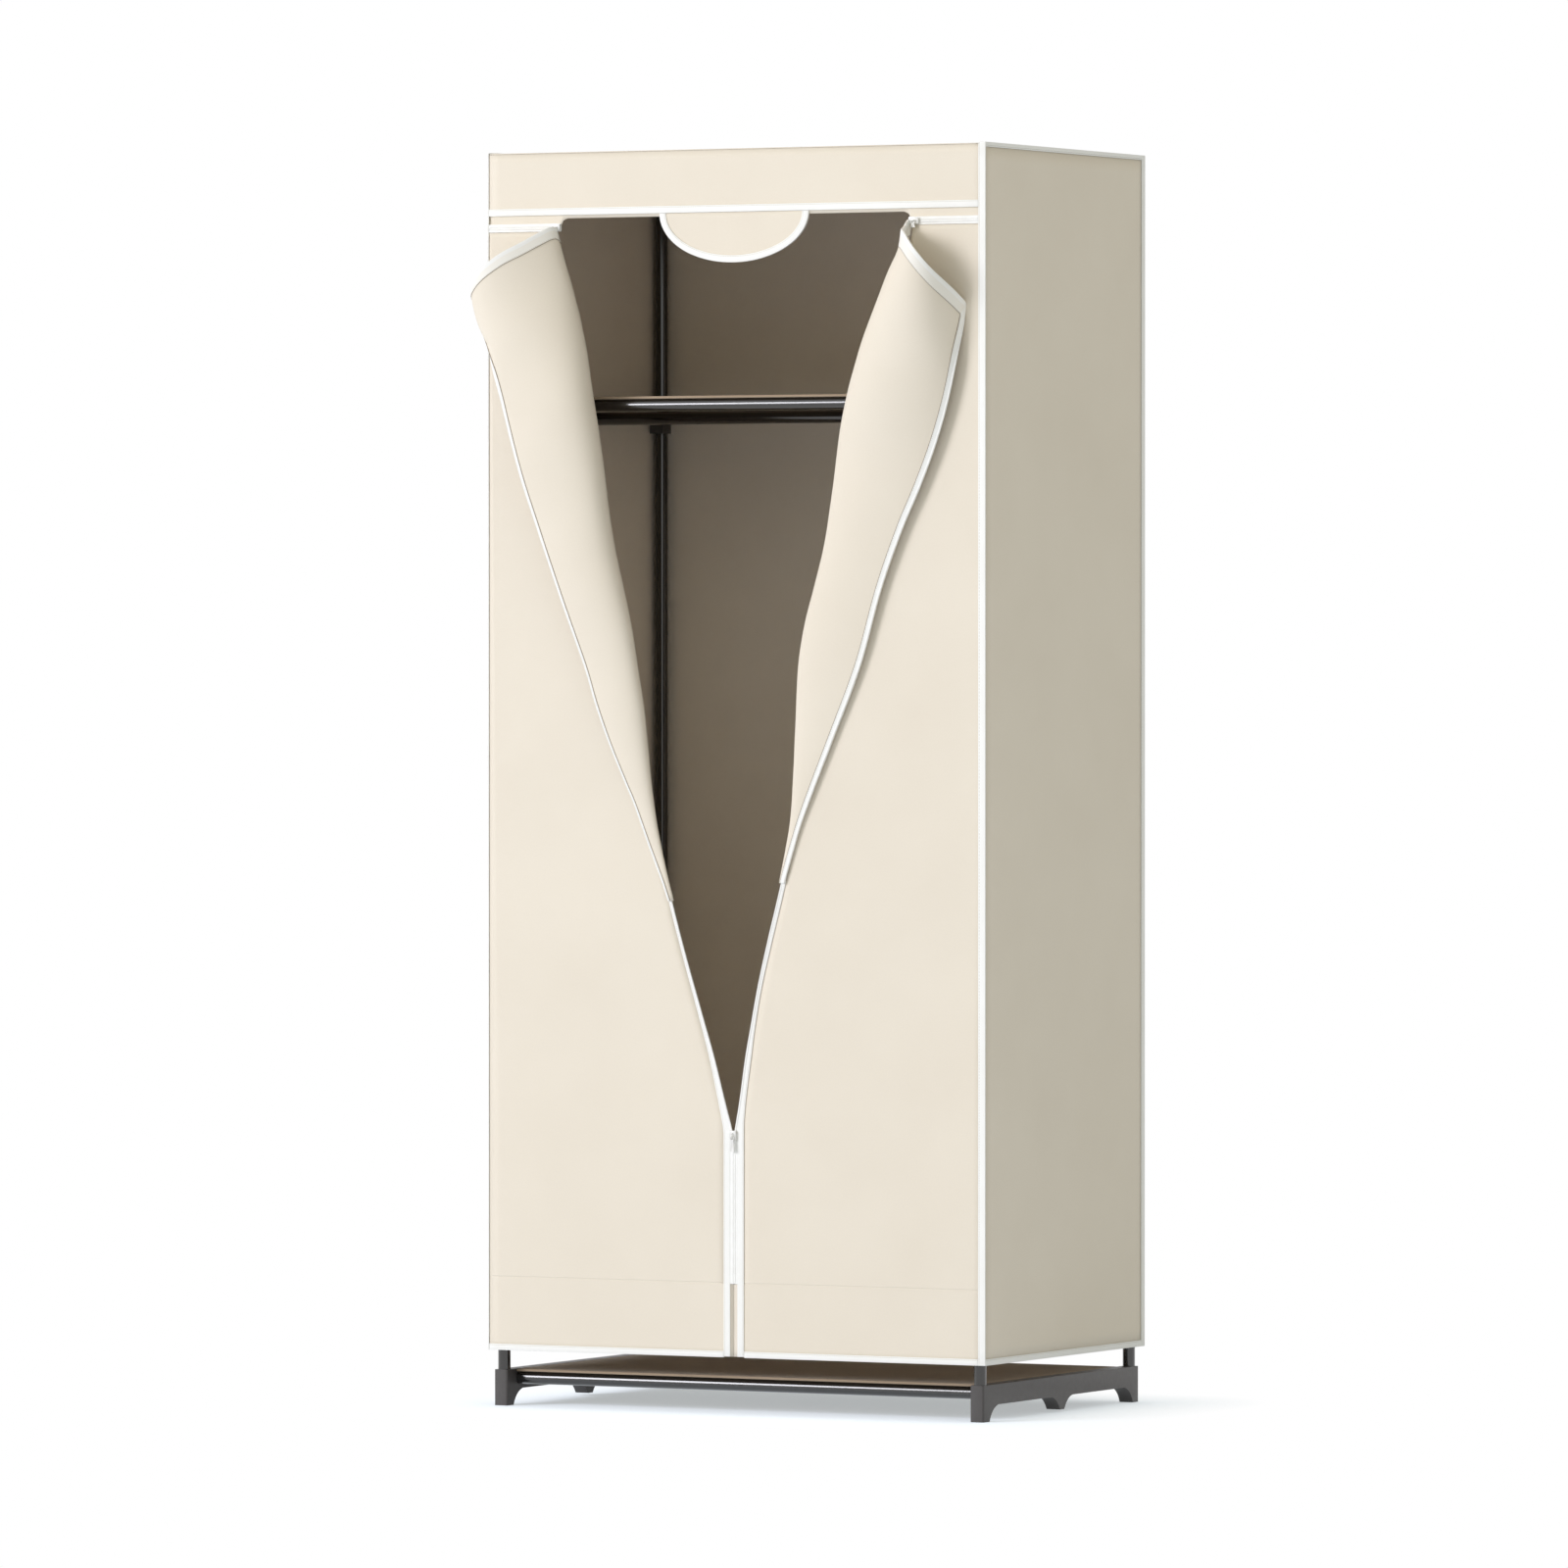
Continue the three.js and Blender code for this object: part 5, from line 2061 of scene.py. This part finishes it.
@dataclass
class Zips:
    """Closed zips, their sliders and their pulls, in millimetres and in shares of a size."""

    palette: Palette
    chain_lap: float = 0.3
    chain_depth: float = 1.9
    chain_edge: float = 0.2
    coil_out: float = 1.35
    coil_height: float = 0.9
    coil_lag: float = 0.8
    slider_depth: float = 3.0
    slider_edge: float = 0.7
    slider_bends: Pair = (-0.1, 0.4)
    slider_tail: float = 0.72
    slider_nose: float = 0.9
    bail_radius: float = 3.4
    bail_wire: float = 0.6
    bail_rise: float = 3.2
    bail_slack: float = 1.1
    pull_width: float = 6.0
    pull_thick: float = 1.2
    loop_height: float = 6.2
    loop_most: float = 0.55
    loop_across: float = 0.42
    plate_lap: float = 2.2
    plate_edge: float = 0.45
    plate_taper: Pair = (-3.0, 1.0)
    plate_neck: float = 0.3
    dimple_rim: float = 0.7
    dimple_depth: float = 0.18

    def build(self) -> None:
        """Builds and dresses the zips."""
        self.add_centre_chain()
        for side in Side:
            self.add_header_zip(side)
        for name in ("left", "right", "centre"):
            self.add_slider(name)
            self.add_pull(name)

    def chain(self, length: float, half: float) -> Mesh:
        """A closed zip along Z from 0, its back at y 0 and its coils forwards.

        Args:
            length: Its length.
            half: Half of its width.

        Returns:
            The zip in metres.
        """
        low, high = Vector((-half, -self.chain_depth, 0)) * MM, Vector((half, 0, length)) * MM
        parts = [box_mesh(low, high, self.chain_edge * MM, segments=1)]
        run = length - self.coil_lag
        for sign in (-1, 1):
            lag = 0.0 if sign < 0 else self.coil_lag
            start = Vector((sign * self.coil_out, -self.chain_depth, lag))

            def path(s: float, start: Vector = start) -> Vector:
                """A point of the coil's middle, in metres."""
                return (start + Vector((0, 0, s * run))) * MM

            coil = ridge(path, lambda s: Vector((1, 0, 0)), lambda s: FRONT, run, height=self.coil_height)
            parts.append(coil)
        return joined(parts)

    def add_centre_chain(self) -> None:
        """Adds the closed lower part of the middle zip."""
        node = "zip_chain_centre"
        low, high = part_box(node)
        bm = self.chain((high.z - low.z) / MM, (high.x - low.x) / 2 / MM + self.chain_lap)
        shift(bm, (0, high.y, low.z))
        make_piece(f"{node}_coils", bm, [self.palette.zip], Stand(Slot.ZIP, (node,)))

    def add_header_zip(self, side: Side) -> None:
        """Adds one closed end of the zip under the header.

        Args:
            side: The end's side.
        """
        node = f"header_zip_{side.label}"
        low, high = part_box(node)
        bm = self.chain((high.x - low.x) / MM, (high.z - low.z) / 2 / MM)
        rotate(bm, math.pi / 2, "Y")
        shift(bm, (low.x, high.y, (low.z + high.z) / 2))
        make_piece(f"{node}_coils", bm, [self.palette.zip], Stand(Slot.ZIP, (node,)))

    def slider_body(self, width: float, length: float) -> Mesh:
        """A slider's body along Z, shouldered at its nose and narrow at its tail.

        Args:
            width: Its width in metres.
            length: Its length in metres.

        Returns:
            The body in metres, about its own middle.
        """
        body = bmesh.new()
        bmesh.ops.create_cube(body, size=1.0)
        bmesh.ops.scale(body, vec=(width, self.slider_depth * MM, length), verts=body.verts)
        upright = [edge for edge in body.edges if abs(edge.verts[0].co.z - edge.verts[1].co.z) > 1e-4]
        bmesh.ops.subdivide_edges(body, edges=upright, cuts=2)
        tail, nose = (share * length for share in self.slider_bends)
        for vertex in body.verts:
            if vertex.co.z < tail:
                vertex.co.x *= self.slider_tail
            elif vertex.co.z > nose:
                vertex.co.x *= self.slider_nose
        sharp = [edge for edge in body.edges if edge.calc_face_angle(0.0) > math.radians(40)]
        round_edges(body, sharp, self.slider_edge * MM, 3)
        return body

    def bail(self) -> Mesh:
        """The half loop of wire in front of a slider.

        Returns:
            The bail in metres, about the middle of the slider's body.
        """
        face = -self.slider_depth / 2 * MM
        bail = bmesh.new()
        bmesh.ops.create_circle(bail, cap_ends=True, segments=10, radius=self.bail_wire * MM)
        rotate(bail, math.pi / 2, "X")
        shift(bail, (0, face, self.bail_radius * MM))
        bmesh.ops.spin(
            bail,
            geom=[*bail.verts, *bail.edges, *bail.faces],
            cent=(0, face, 0),
            axis=(1, 0, 0),
            angle=math.pi,
            steps=14,
        )
        reach = self.bail_radius + self.bail_wire - self.bail_slack
        rise = (self.bail_rise - self.bail_wire) / reach
        for vertex in bail.verts:
            if vertex.co.y < face:
                vertex.co.y = face + (vertex.co.y - face) * rise
        bmesh.ops.recalc_face_normals(bail, faces=bail.faces)
        return bail

    def add_slider(self, name: str) -> None:
        """Adds a slider: a shouldered body with a bail in front.

        Args:
            name: The word that ends its node's name.
        """
        node = f"zip_slider_{name}"
        low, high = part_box(node)
        middle, size = (low + high) / 2, high - low
        width, length = (size.x, size.z) if name == "centre" else (size.z, size.x)
        bm = joined([self.slider_body(width, length), self.bail()])
        if name != "centre":
            rotate(bm, math.pi / 2 if name == "left" else -math.pi / 2, "Y")
        shift(bm, (middle.x, high.y - self.slider_depth / 2 * MM, middle.z))
        smooth_faces(bm)
        stand = Stand(Slot.SLIDER, (node,), f"slider_{name}")
        make_piece(f"{node}_body", bm, [self.palette.slider], stand)

    def pull_loop(self, height: float) -> Mesh:
        """A pull's loop, with the middle of its wire at the origin where it hangs.

        Args:
            height: Its height.

        Returns:
            The loop in metres.
        """
        wire, across = self.pull_thick / 2 * MM, self.pull_width * self.loop_across * MM
        half = height / 2 * MM - wire
        loop = bmesh.new()
        bmesh.ops.create_circle(loop, cap_ends=False, segments=8, radius=wire)
        shift(loop, (across, 0, 0))
        spin_round(loop, (0, 1, 0), 24)
        bmesh.ops.scale(loop, vec=(1, 1, half / across), verts=loop.verts)
        shift(loop, (0, 0, -half))
        return loop

    def pull_plate(self, length: float, loop: float) -> Mesh:
        """A pull's plate, narrow towards its loop and dimpled on both faces.

        Args:
            length: Length of the whole pull.
            loop: Height of its loop.

        Returns:
            The plate in metres.
        """
        wire, half = self.pull_thick / 2, self.pull_width / 2
        low = Vector((-half, -wire, wire - length)) * MM
        high = Vector((half, wire, self.plate_lap * wire - loop)) * MM
        plate = box_mesh(low, high, self.plate_edge * MM)
        for vertex in plate.verts:
            vertex.co.x *= 1 - self.plate_neck * smoothstep(vertex.co.z / MM + loop, *self.plate_taper)
        faces = [f for f in plate.faces if abs(f.normal.y) > 0.9 and f.calc_area() > 4 * MM * MM]
        rim, depth = self.dimple_rim * MM, -self.dimple_depth * MM
        bmesh.ops.inset_individual(plate, faces=faces, thickness=rim, depth=depth)
        return plate

    def add_pull(self, name: str) -> None:
        """Adds a pull: a wire loop through the bail and a dimpled plate below it.

        Args:
            name: The word that ends its node's name.
        """
        node = f"zip_pull_{name}"
        low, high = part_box(node)
        length = (high.z - low.z) / MM
        loop = min(self.loop_height, length * self.loop_most)
        bm = joined([self.pull_loop(loop), self.pull_plate(length, loop)])
        shift(bm, ((low.x + high.x) / 2, (low.y + high.y) / 2, high.z - self.pull_thick / 2 * MM))
        smooth_faces(bm)
        stand = Stand(Slot.SLIDER, (node,), f"pull_{name}")
        make_piece(f"{node}_plate", bm, [self.palette.slider], stand)


@dataclass
class Studio:
    """Camera, lamps, floor and sky. Lengths are in metres, the camera's own in millimetres."""

    turn: float = math.radians(27.69)
    distance: float = 14.443
    shift_aside: float = -0.0426
    eye: float = 0.973
    aim: float = 0.794
    lens: float = 258.9
    sensor: float = 36.0
    lamp_aim: float = 0.8
    floor_radius: float = 9.0
    floor_steps: int = 96
    floor_colour: Triple = (0.77, 0.84, 0.96)
    floor_lift: float = 0.44
    lift_colour: Triple = (0.94, 0.985, 1.0)
    shadow_half: Pair = (0.355, 0.23)
    shadow_fade: float = 0.17
    sky: float = 0.54
    sky_colour: Triple = (1.0, 0.975, 0.87)
    key_place: Triple = (-7.0, -9.0, 4.6)
    key_colour: Triple = (0.9, 0.895, 0.955)
    key_size: float = 4.6
    key_power: float = 880.0
    fill_place: Triple = (4.6, -2.6, 2.4)
    fill_colour: Triple = (1.0, 0.97, 0.85)
    fill_size: float = 2.6
    fill_power: float = 14.0

    def build(self) -> None:
        """Sets the view, the light and the floor."""
        settings = bpy.context.scene.view_settings
        settings.view_transform = "Standard"
        self.add_camera()
        self.add_sky()
        self.add_floor()
        key = self.add_lamp("key_lamp", Vector(self.key_place), self.key_size, self.key_power)
        key.color = self.key_colour
        fill = self.add_lamp("fill_lamp", Vector(self.fill_place), self.fill_size, self.fill_power)
        fill.color = self.fill_colour

    def add_camera(self) -> None:
        """Puts the camera where the photograph was taken from."""
        data = bpy.data.cameras.new("camera")
        data.lens = self.lens
        data.sensor_width = self.sensor
        data.sensor_fit = "HORIZONTAL"
        camera = in_scene("camera", data)
        back = Vector((math.sin(self.turn), -math.cos(self.turn), 0))
        aside = Vector((math.cos(self.turn), math.sin(self.turn), 0))
        ground = Vector((0, SET_BACK, 0)) + back * self.distance + aside * self.shift_aside
        camera.location = ground + Vector((0, 0, self.eye))
        down = math.atan((self.eye - self.aim) / self.distance)
        camera.rotation_euler = (math.pi / 2 - down, 0, self.turn)
        bpy.context.scene.camera = camera

    def seen(self, board: NodeBoard) -> Socket:
        """Tells the rays that show the background itself from those that light the object.

        Args:
            board: The material that asks.

        Returns:
            The socket that is 1 for the first kind and 0 for the second.
        """
        path = board.add("LightPath").outputs
        first = board.sum("ADD", path["Is Camera Ray"], path["Is Glossy Ray"])
        return board.sum("MINIMUM", board.sum("ADD", first, path["Is Transmission Ray"]), 1.0)

    def add_sky(self) -> None:
        """Lights the object evenly from a pale sky that looks white."""
        world = bpy.data.worlds.new("studio_sky")
        world.use_nodes = True
        bpy.context.scene.world = world
        nodes, links = world.node_tree.nodes, world.node_tree.links
        lit = nodes["Background"]
        lit.inputs["Color"].default_value = (*self.sky_colour, 1.0)
        lit.inputs["Strength"].default_value = self.sky
        white = nodes.new("ShaderNodeBackground")
        white.inputs["Color"].default_value = (1.0, 1.0, 1.0, 1.0)
        path = nodes.new("ShaderNodeLightPath").outputs
        both = nodes.new("ShaderNodeMath")
        links.new(path["Is Camera Ray"], both.inputs[0])
        links.new(path["Is Glossy Ray"], both.inputs[1])
        third = nodes.new("ShaderNodeMath")
        third.use_clamp = True
        links.new(both.outputs[0], third.inputs[0])
        links.new(path["Is Transmission Ray"], third.inputs[1])
        sky = nodes.new("ShaderNodeMixShader")
        links.new(third.outputs[0], sky.inputs[0])
        links.new(lit.outputs[0], sky.inputs[1])
        links.new(white.outputs[0], sky.inputs[2])
        links.new(sky.outputs[0], nodes["World Output"].inputs["Surface"])

    def add_floor(self) -> None:
        """Adds a white floor that keeps the object's shadow and fades into the sky."""
        board = NodeBoard("studio_floor")
        where = board.place(on_cloth=False)
        mirrored = board.add("VectorMath", {0: where}, {"operation": "ABSOLUTE"}).outputs[0]
        beside = {0: mirrored, 1: (*self.shadow_half, 0.0)}
        outside = board.add("VectorMath", beside, {"operation": "SUBTRACT"}).outputs[0]
        kept = board.add("VectorMath", {0: outside, 1: (0.0, 0.0, 0.0)}, {"operation": "MAXIMUM"})
        far = board.add("VectorMath", {0: kept.outputs[0]}, {"operation": "LENGTH"}).outputs["Value"]
        fade = board.add("MapRange", {"Value": far, "From Max": self.shadow_fade}).outputs[0]
        seen = self.seen(board)
        board.shader.inputs["Base Color"].default_value = (*self.floor_colour, 1.0)
        board.shader.inputs["Roughness"].default_value = 1.0
        board.shader.inputs["Specular IOR Level"].default_value = 0.0
        strength = board.sum("MULTIPLY", seen, self.floor_lift)
        lift = board.add("Emission", {"Color": (*self.lift_colour, 1.0), "Strength": strength})
        lit = board.add("AddShader", {0: board.shader.outputs[0], 1: lift.outputs[0]})
        white = board.add("Emission", {"Strength": 1.0})
        share = board.sum("MULTIPLY", fade, seen)
        mixed = board.add("MixShader", {0: share, 1: lit.outputs[0], 2: white.outputs[0]})
        board.feed(board.tree.nodes["Material Output"], "Surface", mixed.outputs[0])
        bm = bmesh.new()
        bmesh.ops.create_circle(bm, cap_ends=True, segments=self.floor_steps, radius=self.floor_radius)
        mesh = bpy.data.meshes.new("studio_floor")
        bm.to_mesh(mesh)
        bm.free()
        mesh.materials.append(board.material)
        floor = in_scene("studio_floor", mesh)

    def add_lamp(self, name: str, place: Vector, size: float, power: float) -> bpy.types.AreaLight:
        """Adds a square lamp that looks at the middle of the wardrobe.

        Args:
            name: The lamp's name.
            place: Where it stands.
            size: Length of its sides.
            power: Its power in watts.

        Returns:
            The lamp's settings.
        """
        data = bpy.data.lights.new(name, "AREA")
        data.shape = "SQUARE"
        data.size = size
        data.energy = power
        lamp = in_scene(name, data)
        lamp.location = place
        towards = Vector((0, 0, self.lamp_aim)) - place
        lamp.rotation_euler = towards.to_track_quat("-Z", "Y").to_euler()
        return data


def main() -> None:
    """Builds the wardrobe and its studio."""
    logging.basicConfig(level=logging.INFO, format="%(name)s: %(message)s")
    Studio().build()
    palette = Palette.mixed()
    sizes = CoverSizes()
    for assembly in (
        SteelFrame(palette),
        CoverPanels(sizes, palette),
        TurnedBackDoors(sizes, palette),
        Bindings(sizes, palette),
        Tongue(sizes, palette),
        Zips(palette),
    ):
        assembly.build()
        LOG.info("%s is done", type(assembly).__name__)


if __name__ == "__main__":
    main()
